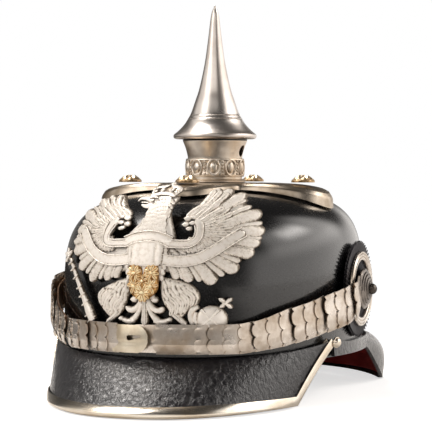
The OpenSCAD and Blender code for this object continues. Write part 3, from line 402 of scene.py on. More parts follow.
LACQUER = lacquered_leather()
CREASED = visor_leather()
PLEATED = dyed_leather("pleated_black_leather", "1d1c1e", "403d41", 0.36, 0.0009)
RED = dyed_leather("dark_red_lining_leather", "b83238", "d65557", 0.42)
GREEN = dyed_leather("green_lining_leather", "24382a", "35503a", 0.5)
TAN = dyed_leather("natural_tan_leather", "5c3f28", "8a6542", 0.6)
BLACK_WASHER = dyed_leather("black_washer_leather", "131313", "242323", 0.5)
SILVER = silver_plate("polished_silver_plate", "e8e1d8", "c2b3a2", 0.16, 0.28)
SPIKE_SILVER = silver_plate("burnished_spike_plate", "e6dfd8", "c3b6ac", 0.27, 0.36, 0.05,
                            streak=(1.0, 1.0, 0.15))
NECK_SILVER = silver_plate("warm_neck_plate", "efe4d6", "c8b59e", 0.32, 0.46, 0.03)
BASE_SILVER = silver_plate("worn_base_plate", "c9bcac", "8d7d69", 0.24, 0.4, 0.022)
TRIM_SILVER = silver_plate("bright_trim_plate", "f4ecdf", "d9c9b2", 0.16, 0.26, 0.04)
PALE_GILT = silver_plate("pale_gilt_end_plate", "e8deca", "c4b49a", 0.26, 0.4, 0.02)
SCALE_SILVER = silver_plate("polished_scale_plate", "e4dbd1", "b5a491", 0.24, 0.38, 0.018,
                            streak=(0.3, 0.3, 1.0))
DARK_STEEL = silver_plate("darkened_ribbed_steel", "8d857e", "4b4541", 0.22, 0.4, 0.01)
DULL_BRASS = silver_plate("turned_dull_brass", "b9974f", "7e6332", 0.3, 0.45, 0.012)
FROSTED = frosted_metal("frosted_silver_stamping", "706252", "ece2d5", "fff8ef", 0.42, 0.6, 0.35)
GILT = frosted_metal("frosted_fire_gilding", "8a602c", "f0bf7a", "fff0c8", 0.34, 0.48, 0.5)
# The star gilding has random wear, plus painted shade and painted highlight by height
STUD_GILT = frosted_metal("worn_and_shaded_star_gilding", "7d6443", "cfae84", "f2dcbc", 0.28, 0.42, 0.85)
SILK = woven_silk()


# Surfaces that pieces share

def oval(a, b, angle, z):
    """A point on the skull's oval; the angle runs from the wearer's left towards the back"""
    return Vector((a * dcos(angle), b * dsin(angle), z))


def squareness(angle):
    """How full the dome's section is at an angle; it is fuller at the back"""
    return SQUARENESS + SQUARE_SHIFT * dsin(angle)


def dome_z(x, y, grow):
    """The height of the dome over x, y, when it is grown by so much all round"""
    u, v = x / (SKULL_A + grow), y / (SKULL_B + grow)
    n = squareness(math.degrees(atan2(v, u)))
    return BELT_Z + (CROWN_Z - BELT_Z + grow) * max(0.0, 1 - sqrt(u * u + v * v) ** n) ** (1 / n)


def front_root(t):
    """Where the front visor meets the skull; t runs from -1 at the wearer's right to 1 at the left"""
    angle = -90 + t * (90 - SPLIT)
    grow = SEAT + VISOR + mix(0.3, STAND_OFF, clamp01((abs(t) - 0.7) / 0.3))
    return oval(SKULL_A + grow, SKULL_B + grow, angle, mix(ROOT_Z, ROOT_SIDE_Z, abs(t) ** 3))


def front_edge(t):
    angle, power = -90 + t * (90 - FRONT_CORNER), 2 / EDGE_SQ
    across = math.copysign(abs(dcos(angle)) ** power, dcos(angle))
    return Vector((FRONT_HALF * across, -(FRONT_REACH - TRIM_NOSE) * (-dsin(angle)) ** power,
                   mix(LIP_Z, CORNER_Z, t * t)))


def front_point(t, s):
    """A point on the front visor's top; s runs from 0 at the skull to 1 at the free edge"""
    return front_root(t).lerp(front_edge(t), s) + UP * (FRONT_CROWN * dsin(180 * s))


def front_normal(t, s):
    e = 0.01
    a = front_point(t, min(1, s + e)) - front_point(t, max(0, s - e))
    b = front_point(min(1, t + e), s) - front_point(max(-1, t - e), s)
    return a.cross(b).normalized()


def rear_drop(angle):
    """0 on the strip at the sides, 1 on the guard at the back"""
    a = 180 - angle if angle > 90 else angle
    return smooth((a - GUARD_START) / GUARD_DROP)


def rear_root(angle):
    a = 180 - angle if angle > 90 else angle
    z = mix(REAR_ROOT_Z, ROOT_SIDE_Z, clamp01((-a - 6) / 12) ** 1.5)
    return oval(SKULL_A + SEAT + VISOR, SKULL_B + SEAT + VISOR, angle, z)


def rear_edge(angle):
    return oval(SKULL_A + FLARE, SKULL_B + FLARE, angle, STRIP_Z).lerp(
        oval(REAR_HALF, REAR_REACH, angle, 0), rear_drop(angle))


def rear_point(angle, s):
    swell = SWELL * rear_drop(angle) * dsin(180 * s ** SWELL_POWER)
    return rear_root(angle).lerp(rear_edge(angle), s) + oval(swell, swell, angle, 0)


def rear_normal(angle, s):
    e, d = 0.01, 0.5
    a = rear_point(angle + d, s) - rear_point(angle - d, s)
    b = rear_point(angle, min(1, s + e)) - rear_point(angle, max(0, s - e))
    return a.cross(b).normalized()


def rear_layer(angle, s, depth):
    """A point so deep under the rear visor's outside; at its edge the layers stay on one level"""
    p, n = rear_point(angle, s), -rear_normal(angle, s)
    if s < 1:
        return p - n * depth
    flat = Vector((n[0], n[1], 0))
    return p - flat.normalized() * depth / max(0.6, flat.length)


def plate_scale(z):
    """How much of the eagle plate's oval is left at a height"""
    k = max(0.0, z - PLATE_BELT) / (PLATE_CROWN - PLATE_BELT)
    return max(0.0001, 1 - k ** PLATE_SQ) ** (1 / PLATE_SQ)


def plate_point(x, z):
    r = plate_scale(z)
    return Vector((x, -PLATE_B * sqrt(max(0.01, r * r - (x / PLATE_A) ** 2)), z))


def plate_normal(x, z):
    p, e = plate_point(x, z), 0.5
    slope = (plate_scale(z + e) ** 2 - plate_scale(z - e) ** 2) / (2 * e)
    return Vector((2 * p.x / PLATE_A ** 2, 2 * p.y / PLATE_B ** 2, -slope)).normalized()


def strap_gap_at(angle):
    """How far the strap stands off the skull: out past the cockade, then in along the visor"""
    bulge = SIDE_GAP + 1.55
    if angle > -10:
        return mix(SIDE_GAP, bulge, clamp01(-angle / 10))
    return mix(bulge, STRAP_GAP, smooth((-angle - 10) / 20))


def strap_point(angle):
    """The strap's path round the skull; past -90 degrees it is the same path on the other side"""
    if angle < -90:
        q = strap_point(-180 - angle)
        return Vector((-q[0], q[1], q[2]))
    n = Vector((dcos(angle) / SKULL_A, dsin(angle) / SKULL_B, 0)).normalized()
    z = mix(STRAP_Z, COCKADE_Z, clamp01((angle + 58) / 60) ** 1.25)
    return oval(SKULL_A, SKULL_B, angle, z) + n * strap_gap_at(angle)


def strap_frame(angle):
    """A point on the path, the way along it, outwards and up across the strap"""
    d = (strap_point(angle - 0.5) - strap_point(angle + 0.5)).normalized()
    o = Vector((-d[1], d[0], 0))
    o = (o - d * o.dot(d)).normalized()
    return strap_point(angle) - UP * (0.8 * over_visor(angle)), d, o, d.cross(o)


def over_visor(angle):
    """1 where the strap crosses the visor, where its top edge drops a little, and 0 at the sides"""
    return smooth((-angle - 40) / 12)


def half_width_at(angle):
    return mix(STRAP_W, STRAP_W_FRONT, clamp01(-angle / 60)) - 1.2 * over_visor(angle)


def step_at(angle):
    """How many mm of the path one degree takes there"""
    return (strap_point(angle - 0.5) - strap_point(angle + 0.5)).length


# Skull and visors

def skull_leather():
    rims = [RIM_Z, RIM_Z + 1, 40, BELT_Z - 1]
    dome_rows = 30
    rows = len(rims) + dome_rows

    def place(u, v):
        angle, i = 360 * u, round(v * rows)
        if i < len(rims):
            return oval(SKULL_A, SKULL_B, angle, rims[i])
        n = squareness(angle)
        lift = acos((HOLE_R / SKULL_A) ** (n / 2)) * (i - len(rims)) / dome_rows
        r = cos(lift) ** (2 / n)
        return oval(SKULL_A * r, SKULL_B * r, angle, BELT_Z + (CROWN_Z - BELT_Z) * sin(lift) ** (2 / n))
    piece = laid("skull_leather", 144, rows, place)
    thickened(piece, WALL, 40, piece.data.polygons[40].center)
    rounded(piece, 0.8)
    finished(piece, LACQUER, "helmet", ["skull_shell"], 50)


def front_visor_leather():
    piece = laid("front_visor_leather", 72, 20, lambda u, v: front_point(2 * u - 1, v))
    thickened(piece, VISOR, 700, UP)
    rounded(piece, 0.7)
    finished(piece, CREASED, "helmet", ["front_visor"], 50)


def front_visor_lining():
    # It starts below the skull's rim and ends short of the trim
    visor_depth, half_edge = 46, 120
    start = (ROOT_SIDE_Z - RIM_Z + 2.5) / (ROOT_SIDE_Z - CORNER_Z)
    s_end, t_end = 1 - (TRIM_LAP + 2.4) / visor_depth, 1 - (TRIM_LAP + 3) / half_edge

    def under(u, v):
        t, s = t_end * (2 * u - 1), mix(start, s_end, v)
        return front_point(t, s) - front_normal(t, s) * (VISOR + SEAT)
    lining = laid("front_visor_skiver", 60, 12, under)
    thickened(lining, LINING, 300, DOWN, offset=1)
    finished(lining, GREEN, "helmet", ["front_visor_lining"])


def trim_stations():
    """Along the visor's free edges: (point, outward, normal)"""
    step = 0.02

    def side_out(side, s):
        n = front_normal(side, s)
        way = front_point(side, min(1, s + step)) - front_point(side, max(0, s - step))
        return n.cross(way.normalized()) * side, n

    def edge_out(t):
        n = front_normal(t, 1)
        way = front_point(min(1, t + step), 1) - front_point(max(-1, t - step), 1)
        return way.normalized().cross(n), n

    rows = []
    for side in (-1, 1):
        part = []
        for i in range(13):
            s = mix(0.08, 0.955, i / 12)
            o, n = side_out(side, s)
            part.append((front_point(side, s), o, n))
        # The corner's station points between the two edges that meet there
        a, n = side_out(side, 1)
        b = edge_out(side)[0]
        part.append((front_point(side, 1), (a + b) / (1 + a.dot(b)), n))
        rows.append(part)
    middle = []
    for i in range(1, 60):
        t = mix(-0.985, 0.985, i / 60)
        o, n = edge_out(t)
        middle.append((front_point(t, 1), o, n))
    return rows[0] + middle + rows[1][::-1]


def front_trim():
    # The section is a run of (outward, up) points: the outer wall with its round nose, then the inner wall
    inner, outer = TRIM_INNER, TRIM_OUTER
    section = [(-TRIM_LAP, inner), (-TRIM_LAP, outer - 0.15), (-TRIM_LAP + 0.2, outer),
               (TRIM_GAP - 0.4, outer)]
    for i in range(9):
        a = 90 - i * 22.5
        section.append((TRIM_GAP - 0.1 + (TRIM_NOSE - TRIM_GAP + 0.1) * dcos(a), outer * dsin(a)))
    section += [(TRIM_GAP - 0.4, -outer), (-TRIM_LAP + 0.2, -outer), (-TRIM_LAP, -outer + 0.15)]
    section += [(-TRIM_LAP, -inner), (TRIM_GAP - 0.2, -inner), (TRIM_GAP, -inner * 0.5),
                (TRIM_GAP, inner * 0.5), (TRIM_GAP - 0.2, inner), (-TRIM_LAP, inner)]
    stations = trim_stations()
    count = len(section) - 1

    def place(u, v):
        p, o, n = stations[round(u * (len(stations) - 1))]
        q = section[round(v * count)]
        return p - n * VISOR / 2 + o * q[0] + n * q[1]
    piece = laid("front_trim_metal", len(stations) - 1, count, place, fill=True)
    finished(piece, TRIM_SILVER, "helmet", ["front_visor_trim"], 45)


def trim_knobs():
    # A turned knob on a flat collar covers each end of the trim
    lift = TRIM_OUTER - VISOR / 2 + FLAT
    profile = [(0, 0), (1, 0), (1, 0.5), (0.97, 0.72), (0.86, 0.86), (0.84, 1.2), (0.76, 1.75), (0.62, 2.2),
               (0.42, 2.55), (0.2, 2.74), (0, 2.8)]
    knobs = []
    for side in (-1, 1):
        n = front_normal(side, 0)
        p = front_point(side, 0.04) + n * lift
        knob = turned("trim_end_knob", [(KNOB_R * r, z) for r, z in profile], 36, closed=False)
        knobs.append(moved(knob, at(*p) @ n.to_track_quat("Z", "Y").to_matrix().to_4x4()))
    finished(joined("trim_end_knobs", knobs), TRIM_SILVER, "helmet", ["trim_knobs"])


def rear_visor_leather():
    first = -SPLIT + 0.4
    # Outer and inner skins of the same grid, bridged round their edge
    skins = []
    for name, depth in (("rear_visor_leather", 0), ("rear_visor_inside", VISOR)):
        def place(u, v):
            return rear_layer(mix(first, 180 - first, u), v, depth)
        skins.append(laid(name, 120, 18, place))
    piece = joined("rear_visor_leather", skins)
    bpy.ops.object.mode_set(mode="EDIT")
    bpy.ops.mesh.select_mode(type="EDGE")
    bpy.ops.mesh.select_all(action="DESELECT")
    bpy.ops.mesh.select_non_manifold()
    bpy.ops.mesh.bridge_edge_loops()
    bpy.ops.mesh.select_mode(type="VERT")
    bpy.ops.object.mode_set(mode="OBJECT")
    tidy_mesh(piece)
    finished(piece, CREASED, "helmet", ["rear_visor"], 50)


def rear_visor_lining():
    first = GUARD_START + 5

    def under(u, v):
        return rear_layer(mix(first, 180 - first, u), mix(0.32, 0.9, v), VISOR + SEAT)
    lining = laid("rear_visor_skiver", 90, 12, under)
    thickened(lining, LINING, 540, DOWN, offset=1)
    finished(lining, RED, "helmet", ["rear_visor_lining"])


def spine():
    # The path is a run of (y, z): from the cross base's rear arm down the back and over the neck guard
    n = squareness(90)
    top_lift = acos(((ARM_REAR + 0.8) / SKULL_B) ** (n / 2))
    path = []
    for i in range(25):
        lift = mix(top_lift, 0, i / 24)
        path.append(((SKULL_B + SEAT) * cos(lift) ** (2 / n),
                     BELT_Z + (CROWN_Z - BELT_Z + SEAT) * sin(lift) ** (2 / n)))
    path += [(SKULL_B + SEAT, mix(BELT_Z, REAR_ROOT_Z + 12, k)) for k in (0.5, 1)]
    path.append((SKULL_B + 2 * SEAT + VISOR, REAR_ROOT_Z + 2.5))
    for i in range(9):
        p = rear_layer(90, mix(0.05, 0.9, i / 8), -SEAT)
        path.append((p[1], p[2]))

    def place(u, v):
        i = round(u * (len(path) - 1))
        a, b = path[max(0, i - 1)], path[min(len(path) - 1, i + 1)]
        d = Vector((b[0] - a[0], b[1] - a[1])).normalized()
        w = 2 * v - 1
        h = SPINE_RISE * (1 - 0.5 * w * w)
        return (w * SPINE_HALF, path[i][0] - d[1] * h, path[i][1] + d[0] * h)
    piece = laid("spine_strip", len(path) - 1, 12, place)
    thickened(piece, 0.6, len(piece.data.polygons) // 2, BACK)
    finished(piece, SILVER, "helmet", ["rear_spine"])


# Cross base, studs, neck and spike

def lobe_reach(angle, reach):
    """How far an arm with an oval end reaches at an angle from its middle line"""
    c, s = dcos(angle), abs(dsin(angle))
    long = ARM_HALF * 1.45
    straight = reach - long
    if c <= 0.001:
        return 0.0
    side_hit = 1e6 if s < 0.001 else ARM_HALF / s
    if side_hit * c < straight:
        return side_hit
    a = (c / long) ** 2 + (s / ARM_HALF) ** 2
    b = -2 * straight * c / long ** 2
    k = straight ** 2 / long ** 2 - 1
    return (-b + sqrt(max(0.0, b * b - 4 * a * k))) / (2 * a)


def arm_reach(angle):
    """The cross's outline, with the arms blended where they meet"""
    blend = 9
    reaches = (lobe_reach(angle, ARM_SIDE), lobe_reach(180 - angle, ARM_SIDE),
               lobe_reach(angle - 90, ARM_REAR), lobe_reach(angle + 90, ARM_FRONT))
    return sum(r ** blend for r in reaches) ** (1 / blend)


def cross_base():
    # Rows lie at set distances from the sheet's edge, so that the raised border keeps its width
    border = [0, 0.35, 0.8, 1.3, 1.8, 2.2, 2.6, 3.0, 3.4, 3.8, 4.2, 4.6, 5.0, 5.5, 6.3, 7.5]
    hub_r, full = FOOT_R + 1, 3.4
    inner_rows = 14
    rows = len(border) + inner_rows - 1

    def place(u, v):
        angle = 360 * u
        reach = arm_reach(angle)
        turn = (arm_reach(angle + 0.5) - arm_reach(angle - 0.5)) / radians(1)
        slant = sqrt(1 + (turn / reach) ** 2)
        i = round(v * rows)
        if i < len(border):
            r = max(hub_r + 0.4 * (len(border) - i), reach - border[i] * slant)
        else:
            last = max(hub_r + 0.4, reach - border[-1] * slant)
            r = mix(last, HOLE_R, (i - len(border) + 1) / inner_rows)
        edge_z = dome_z(reach * dcos(angle), reach * dsin(angle), 0) + SEAT + BASE_SHEET
        q = clamp01((r - hub_r) / (reach - hub_r))
        z = HUB_Z if r <= hub_r else edge_z + (HUB_Z - edge_z) * max(0.0, 1 - q ** full) ** (1 / full)
        if i < len(border):
            # Two raised lines inside a rounded edge
            d = border[i]
            z += 0.45 * exp(-((d - 2.6) / 0.55) ** 2) + 0.35 * exp(-((d - 4.3) / 0.5) ** 2)
            z -= 0.25 * exp(-(d / 0.5) ** 2)
        return (r * dcos(angle), r * dsin(angle), min(z, HUB_Z + 0.25))
    piece = laid("cross_base_sheet", 240, rows, place)
    thickened(piece, BASE_SHEET, len(piece.data.polygons) // 2, UP)
    finished(piece, BASE_SILVER, "helmet", ["cross_base"], 50)


def set_painted_shade(piece, value_of):
    """Keeps a value from 0, deep in the relief, to 1, on its crest, which the metal's colour turns into
    painted shade and painted highlight
    """
    layer = piece.data.attributes.new("relief", "FLOAT", "POINT")
    for v in piece.data.vertices:
        layer.data[v.index].value = clamp01(value_of(v.co / MM))


def star_studs():
    # A low dome with eight raised rays and a flat rim, on a plain skirt
    base = HUB_Z + FLAT

    def place(u, v):
        a = 360 * u
        r = STUD_R * v
        star = 1 - abs(((a / 45) % 1) * 2 - 1)
        edge = 1.0 + 0.25 * (v > 0.9)
        z = edge + 3.5 * (1 - v ** 1.9) + 0.55 * (2 * star - 1) * sin(pi * min(1, v * 1.08)) ** 0.8
        if v > 0.93:
            z = 1.0
        return (r * dcos(a), r * dsin(a), base + max(0.9, min(4.6, z)))
    top = laid("stud_one", 64, 14, place)
    skirt = turned("stud_skirt", [(STUD_R, base), (STUD_R, base + 0.9), (STUD_R * 0.99, base + 1.0)], 64,
                   closed=False)
    one = tidy_mesh(joined("stud_one", [top, skirt]))
    # Painted shade and highlight: the studs are painted lighter the higher they stand
    set_painted_shade(one, lambda p: 0.2 + 0.2 * (p.z - base))
    side, rear, front = ARM_SIDE - STUD_IN, ARM_REAR - STUD_IN, ARM_FRONT - STUD_IN
    places = [(side, 0), (-side, 0), (0, rear), (0, -front)]
    parts = [copy_of(one, "stud_%d" % i, at(x, y, 0)) for i, (x, y) in enumerate(places)]
    bpy.data.objects.remove(one)
    finished(joined("gilt_star_studs", parts), STUD_GILT, "helmet", ["base_star_studs"], 25)


def neck():
    # A foot flange, a straight tube with two vent holes and a mouth that flares out under the spike
    top, low = HUB_Z + NECK_H, HUB_Z + FLAT
    foot = [(HOLE_R + 1.5, low), (FOOT_R - 0.4, low), (FOOT_R, low + 0.4), (FOOT_R, low + 0.9),
            (FOOT_R - 0.4, HUB_Z + 1.6), (NECK_R + 0.9, HUB_Z + 1.9), (NECK_R, HUB_Z + 2.3)]
    flare = curve_through([(NECK_R, top - 12), (NECK_R + 0.05, top - 10), (NECK_R + 0.6, top - 7.4),
                           (mix(NECK_R, MOUTH_R, 0.5), top - 4), (MOUTH_R - 0.1, top - 0.4)], 4)
    lining = [(r - NECK_WALL, z) for r, z in reversed(flare)]
    line = foot + flare + [(MOUTH_R, top), (MOUTH_R - NECK_WALL, top)] + lining
    line += [(NECK_R - NECK_WALL, HUB_Z + 3.2), (HOLE_R + 1.5, HUB_Z + 3.2)]
    piece = turned("neck_sheet", line, 96)
    deselect()
    bpy.ops.mesh.primitive_cylinder_add(vertices=32, radius=VENT_R * MM, depth=60 * MM,
                                        location=(0, 0, (top - 6.4) * MM), rotation=(0, pi / 2, 0))
    cut(piece, named("vent_cutter"))
    finished(piece, NECK_SILVER, "helmet", ["spike_neck"], 35)


def pearl_ring():
    band, z0, z1 = NECK_R + FLAT, PEARL_RING_Z, PEARL_RING_Z + PEARL_RING_H
    edge = [(0, 0), (0.5, 0), (0.9, 0.4), (0.9, 1.0), (0.4, 1.4), (0.2, 2)]
    line = [(band + r, z0 + z) for r, z in edge] + [(band + r, z1 - z) for r, z in reversed(edge)]
    parts = [turned("pearl_band", line, 96)]
    mid, pitch = (z0 + z1) / 2, 360 / PEARLS
    for i in range(PEARLS):
        # A pearl in its raised rim, then a row of beads between it and the next
        spot = Matrix.Rotation(radians(i * pitch), 4, "Z") @ at(band + 0.3, 0, mid)
        deselect()
        bpy.ops.mesh.primitive_uv_sphere_add(segments=20, ring_count=12, radius=MM)
        parts.append(moved(named("pearl"), spot @ Matrix.Diagonal((1.25, 2.5, 3.5, 1))))
        deselect()
        bpy.ops.mesh.primitive_torus_add(major_segments=28, minor_segments=8, major_radius=MM,
                                         minor_radius=0.14 * MM)
        lie = Matrix.Rotation(pi / 2, 4, "Y") @ Matrix.Diagonal((4.9, 3.8, 3.0, 1))
        parts.append(moved(named("pearl_rim"), spot @ at(0.3, 0, 0) @ lie))
        between = Matrix.Rotation(radians((i + 0.5) * pitch), 4, "Z")
        for dz, size in ((-3.9, 0.85), (-1.9, 0.7), (0, 1.05), (1.9, 0.7), (3.9, 0.85)):
            deselect()
            bpy.ops.mesh.primitive_uv_sphere_add(segments=12, ring_count=8, radius=size * MM)
            parts.append(moved(named("bead"), between @ at(band + 0.35, 0, mid + dz)))
    finished(joined("pearl_band_ring", parts), NECK_SILVER, "helmet", ["pearl_ring"], 50)


def spike_stub(foot):
    """The threaded stub under the spike, whose ridges are drawn as rings"""
    low = foot - STUB_LENGTH
    thread = [(STUB_R - 0.35 * (i % 2), low + 1 + i * 0.75) for i in range(24)]
    line = [(0, low), (STUB_R - 0.6, low), (STUB_R, low + 0.6)] + thread + [(STUB_R, foot + 0.4)]
    return turned("spike_stub", line, 48, closed=False)


def spike_point():
    # A rolled lip, then a bell that draws in to a long plain point; widths are parts of the lip's radius
    foot = HUB_Z + NECK_H + 1.1
    f = FLANGE_R
    lip = [(0, 0), (f - 2, 0), (f - 0.9, 0.25), (f - 0.2, 0.9), (f, 1.7), (f - 0.15, 2.5), (f - 0.6, 3.2)]
    widths = [(0.865, 5.6), (0.735, 9.3), (0.64, 13.2), (0.567, 17), (0.467, 24.6), (0.373, 32.3),
              (0.25, 47.3), (0.167, 62.6), (0.095, 77.8)]
    bell = curve_through([(f - 0.9, 3.4)] + [(f * k, z) for k, z in widths] + [(0.9, SPIKE_H - 1.6)], 5)
    # Two fine engraved rings round the bell
    cut_line = []
    for r, z in bell:
        cut_line.append((r, z))
        if abs(z - 12.42) < 0.4 or abs(z - 14.7) < 0.4:
            cut_line += [(r - 0.28, z + 0.25), (r - 0.12, z + 0.5)]
    cut_line.sort(key=lambda q: q[1])
    tip = [(0.75, SPIKE_H - 0.7), (0.4, SPIKE_H - 0.2), (0, SPIKE_H - 0.02)]
    line = lip + cut_line + tip
    piece = turned("spike_metal", [(r, z + foot) for r, z in line], 128, closed=False)
    finished(joined("spike_metal", [piece, spike_stub(foot)]), SPIKE_SILVER, "spike", ["spike"], 35)


# Cockades and bosses

def side_matrix(side):
    """Carries a piece built about Z to the cockade's place on one side"""
    return at(side * SKULL_A, COCKADE_Y, COCKADE_Z) @ Matrix.Rotation(side * pi / 2, 4, "Y")


def pleated_disc():
    """Two rows of pleats, half a tooth apart, over a core of stiff card"""
    face, back, bore = SEAT + COCKADE_T, SEAT, 2.4

    def tooth(u, v, shift):
        """How high the pleat's fold is there, and how far from the middle"""
        fold = 1 - abs(((u * TEETH + shift) % 1) * 2 - 1)
        return fold, mix(bore, COCKADE_R - 2.4 * (1 - fold), v)

    def pleat(u, v):
        fold, r = tooth(u, v, 0.0)
        return oval(r, r, 360 * u, face - 0.75 * (1 - fold) * smooth((r - 5) / 8))

    def backing(u, v):
        fold, r = tooth(u, v, 0.5)
        return oval(r, r, 360 * u, back + 0.45 + 0.45 * fold * smooth((r - 20) / 6))
    parts = []
    for name, place, wall in (("pleats_front", pleat, 0.7), ("pleats_rear", backing, 0.4)):
        skin = laid(name, TEETH * 6, 14, place)
        thickened(skin, wall, 100, UP)
        parts.append(skin)
    low, high, core_r = back + 0.1, face - 1.5, 25.5
    parts.append(turned("pleats_core", [(bore, low), (core_r, low), (core_r, high), (bore, high)], 72))
    return joined("pleats", parts)


def grooved_ring():
    """A flat ring with two grooves, drawn from its inner edge i to its outer edge o"""
    low = FLAT + SEAT + COCKADE_T
    i, o, top = RING_R - RING_BAND, RING_R, low + RING_T
    ridges = [(i, low), (o - 0.1, low), (o, low + 0.2), (o, top - 0.7), (o - 0.25, top - 0.2), (o - 0.7, top),
              (o - 1.2, top - 0.1), (o - 1.5, top - 0.6), (o - 1.8, top - 0.1), (o - 2.4, top),
              (o - 3.1, top - 0.1), (o - 3.4, top - 0.6), (o - 3.7, top - 0.1), (o - 4.4, top),
              (i + 0.35, top - 0.15), (i, top - 0.6)]
    return turned("ring", ridges, 96)


def ribbed_boss():
    """A ribbed dome over the strap's screw"""
    ribs = [(2.07, 0), (12.4, 0), (12.4, 0.9), (11.9, 1.5), (10.6, 1.9), (10.3, 2.6), (9.6, 2.9), (9.0, 2.7),
            (8.7, 3.4), (7.6, 3.8), (7.0, 3.6), (6.7, 4.2), (5.6, 4.6), (5.0, 4.5), (4.8, 4.9), (2.07, 4.9)]
    return turned("boss", [(r, SIDE_GAP + z) for r, z in ribs], 72)


def cockades():
    disc, ring, boss = pleated_disc(), grooved_ring(), ribbed_boss()
    for side, name in ((1, "left"), (-1, "right")):
        to = side_matrix(side)
        finished(copy_of(disc, "cockade_pleats_" + name, to), PLEATED, "helmet", ["cockade_disc_" + name],
                 20)
        finished(copy_of(ring, "cockade_band_" + name, to), SILVER, "helmet", ["cockade_ring_" + name],
                 50)
        finished(copy_of(boss, "ribbed_boss_" + name, to), DARK_STEEL, "strap_%s_1" % name,
                 ["chin_boss_" + name], 30)
    for pattern in (disc, ring, boss):
        bpy.data.objects.remove(pattern)


# Chin straps

def scale_lobe(w):
    """How far the free edge reaches at w across: two long lobes, two short ones, cusps between"""
    t = abs(w) / 0.8
    if t < 1:
        return 2.2 * max(0.0, sin(pi * t)) ** 0.5 - 1.2
    return 0.9 * sin(pi / 2 * clamp01((t - 1) / 0.25)) - 1.2


def one_scale(root, edge, first, root_lift):
    """One lapped scale; the first under the boss lies flat at its root"""
    tip = edge - SCALE_LAP / step_at(edge)
    start = root + (1.6 if first else 0)

    def place(u, v):
        w = 2 * v - 1
        angle = mix(start, tip, u)
        p, d, o, up = strap_frame(angle)
        h = half_width_at(angle)
        lift = mix(0.9, 4.5, smooth(u * 1.1)) if first else mix(root_lift, 4.5, u ** 0.9)
        # Nearly flat above the crease, turned down below it
        arch = 0.5 * clamp01(w + 0.35) / 1.35 if w > -0.35 else 2.2 * ((-0.35 - w) / 0.65) ** 1.2
        bead = 0.15 * exp(-((u - 0.95) / 0.03) ** 2)
        return p + up * (w * h) + o * (lift - arch + bead + SCALE_SHEET) + d * (scale_lobe(w) * u ** 4)
    piece = laid("scale", 12, 40, place)
    thickened(piece, SCALE_SHEET, 200, strap_frame((root + edge) / 2)[2])
    return piece


def strap_leather(name, first, end):
    """A strip of leather under a group of scales, with its outer corners cut off"""
    section = [(-0.66, 0), (-0.66, 0.9), (-0.6, 1.2), (0.6, 1.2), (0.66, 0.9), (0.66, 0), (-0.66, 0)]

    def place(u, v):
        angle = mix(first, end, u)
        p, _, o, up = strap_frame(angle)
        w, lift = section[round(v * 6)]
        return p + up * (w * half_width_at(angle)) + o * lift
    return laid(name, 8, 6, place, fill=True)


def chin_straps():
    for side, name, last in ((1, "left", LEFT_END), (-1, "right", RIGHT_END)):
        flip = Matrix.Diagonal((side, 1, 1, 1))
        ends = [STRAP_START] + FOLDS + [last]
        for k, (a, b) in enumerate(zip(ends, ends[1:])):
            group = "%s_%d" % (name, k + 1)
            count = max(1, round((a - b) * 2 / SCALE_PITCH))
            # The scale past a fold lies lower at its root, so that the one before it can close over it
            parts = [one_scale(mix(a, b, i / count), mix(a, b, (i + 1) / count), k == 0 and i == 0,
                               2.1 if i == 0 else 3.5)
                     for i in range(count)]
            piece = moved(joined("scales_" + group, parts), flip)
            finished(piece, SCALE_SILVER, "strap_" + group, ["chin_scales_" + group])
            first = a + (1.2 if k == 0 else -0.25)
            end = b + (1.3 if b == last else 0.25)
            leather = moved(strap_leather("strap_leather_" + group, first, end), flip)
            finished(leather, TAN, "strap_" + group, ["chin_leather_" + group])


def front_angle(x):
    """Where on the strap's path a point lies that is so far from the middle of the front"""
    return -90 + math.degrees(math.asin(x / (SKULL_A + STRAP_GAP)))


def end_plate(name, a, b, lift_a, lift_b, wall):
    """A plate along the strap between two angles, with a round end and a crease below its middle"""
    h = STRAP_W_FRONT - 1.8

    def place(u, v):
        w = 2 * v - 1
        left = clamp01((1 - u) / 0.3)
        half = h * max(0.25, sqrt(1 - (1 - left) ** 2))
        p, _, o, up = strap_frame(mix(a, b, u))
        lift = mix(lift_a, lift_b, smooth(u / 0.35))
        arch = 0.7 * (half / h) ** 2 * w * w
        crease = 0.3 * exp(-((w + 0.25) / 0.12) ** 2) * left
        return p + up * (w * half) + o * (lift - arch - crease + wall)
    piece = laid(name, 40, 20, place)
    thickened(piece, wall, 300, FRONT)
    return piece


def end_plates():
    tongue = end_plate("strap_tongue", LEFT_END + 0.9, front_angle(-9), 1.5, 1.5, 0.6)
    finished(tongue, SCALE_SILVER, "strap_left_6", ["chin_tongue_left"])
    end = end_plate("strap_end_plate", RIGHT_END + 1.4, front_angle(-4.4), 3.4, 5.2, 0.7)
    end = moved(end, Matrix.Diagonal((-1, 1, 1, 1)))
    # The tear-shaped hole is a row of round cuts that grow smaller and climb a little
    for step in range(7):
        deselect()
        bpy.ops.mesh.primitive_cylinder_add(
            vertices=24, radius=(1.6 - step * 0.16) * MM, depth=40 * MM,
            location=((-6.8 + step * 1.15) * MM, -118 * MM, (STRAP_Z - 0.2 + step * 0.17) * MM),
            rotation=(pi / 2, 0, 0))
        cut(end, named("slot_cutter"))
    finished(end, PALE_GILT, "strap_right_6", ["chin_end_plate_right"], 35)


# Eagle plate

def along(values, u):
    """The value at u between 0 and 1 in an evenly spaced list"""
    if not isinstance(values, (list, tuple)):
        return values
    f = u * (len(values) - 1)
    i = min(len(values) - 2, int(f))
    return mix(values[i], values[i + 1], f - i)


def over_plate(x, z, lift):
    """The point at a height over the plate's ground that stands at x, z when seen from in front"""
    n = plate_normal(x, z)
    return plate_point(x - n.x * lift, z - n.z * lift) + n * lift


def furrow(phase, sharp):
    """Engraved lines: 1 in the middle of each groove, one groove to each whole step of the phase"""
    return (0.5 - 0.5 * cos(2 * pi * phase)) ** sharp


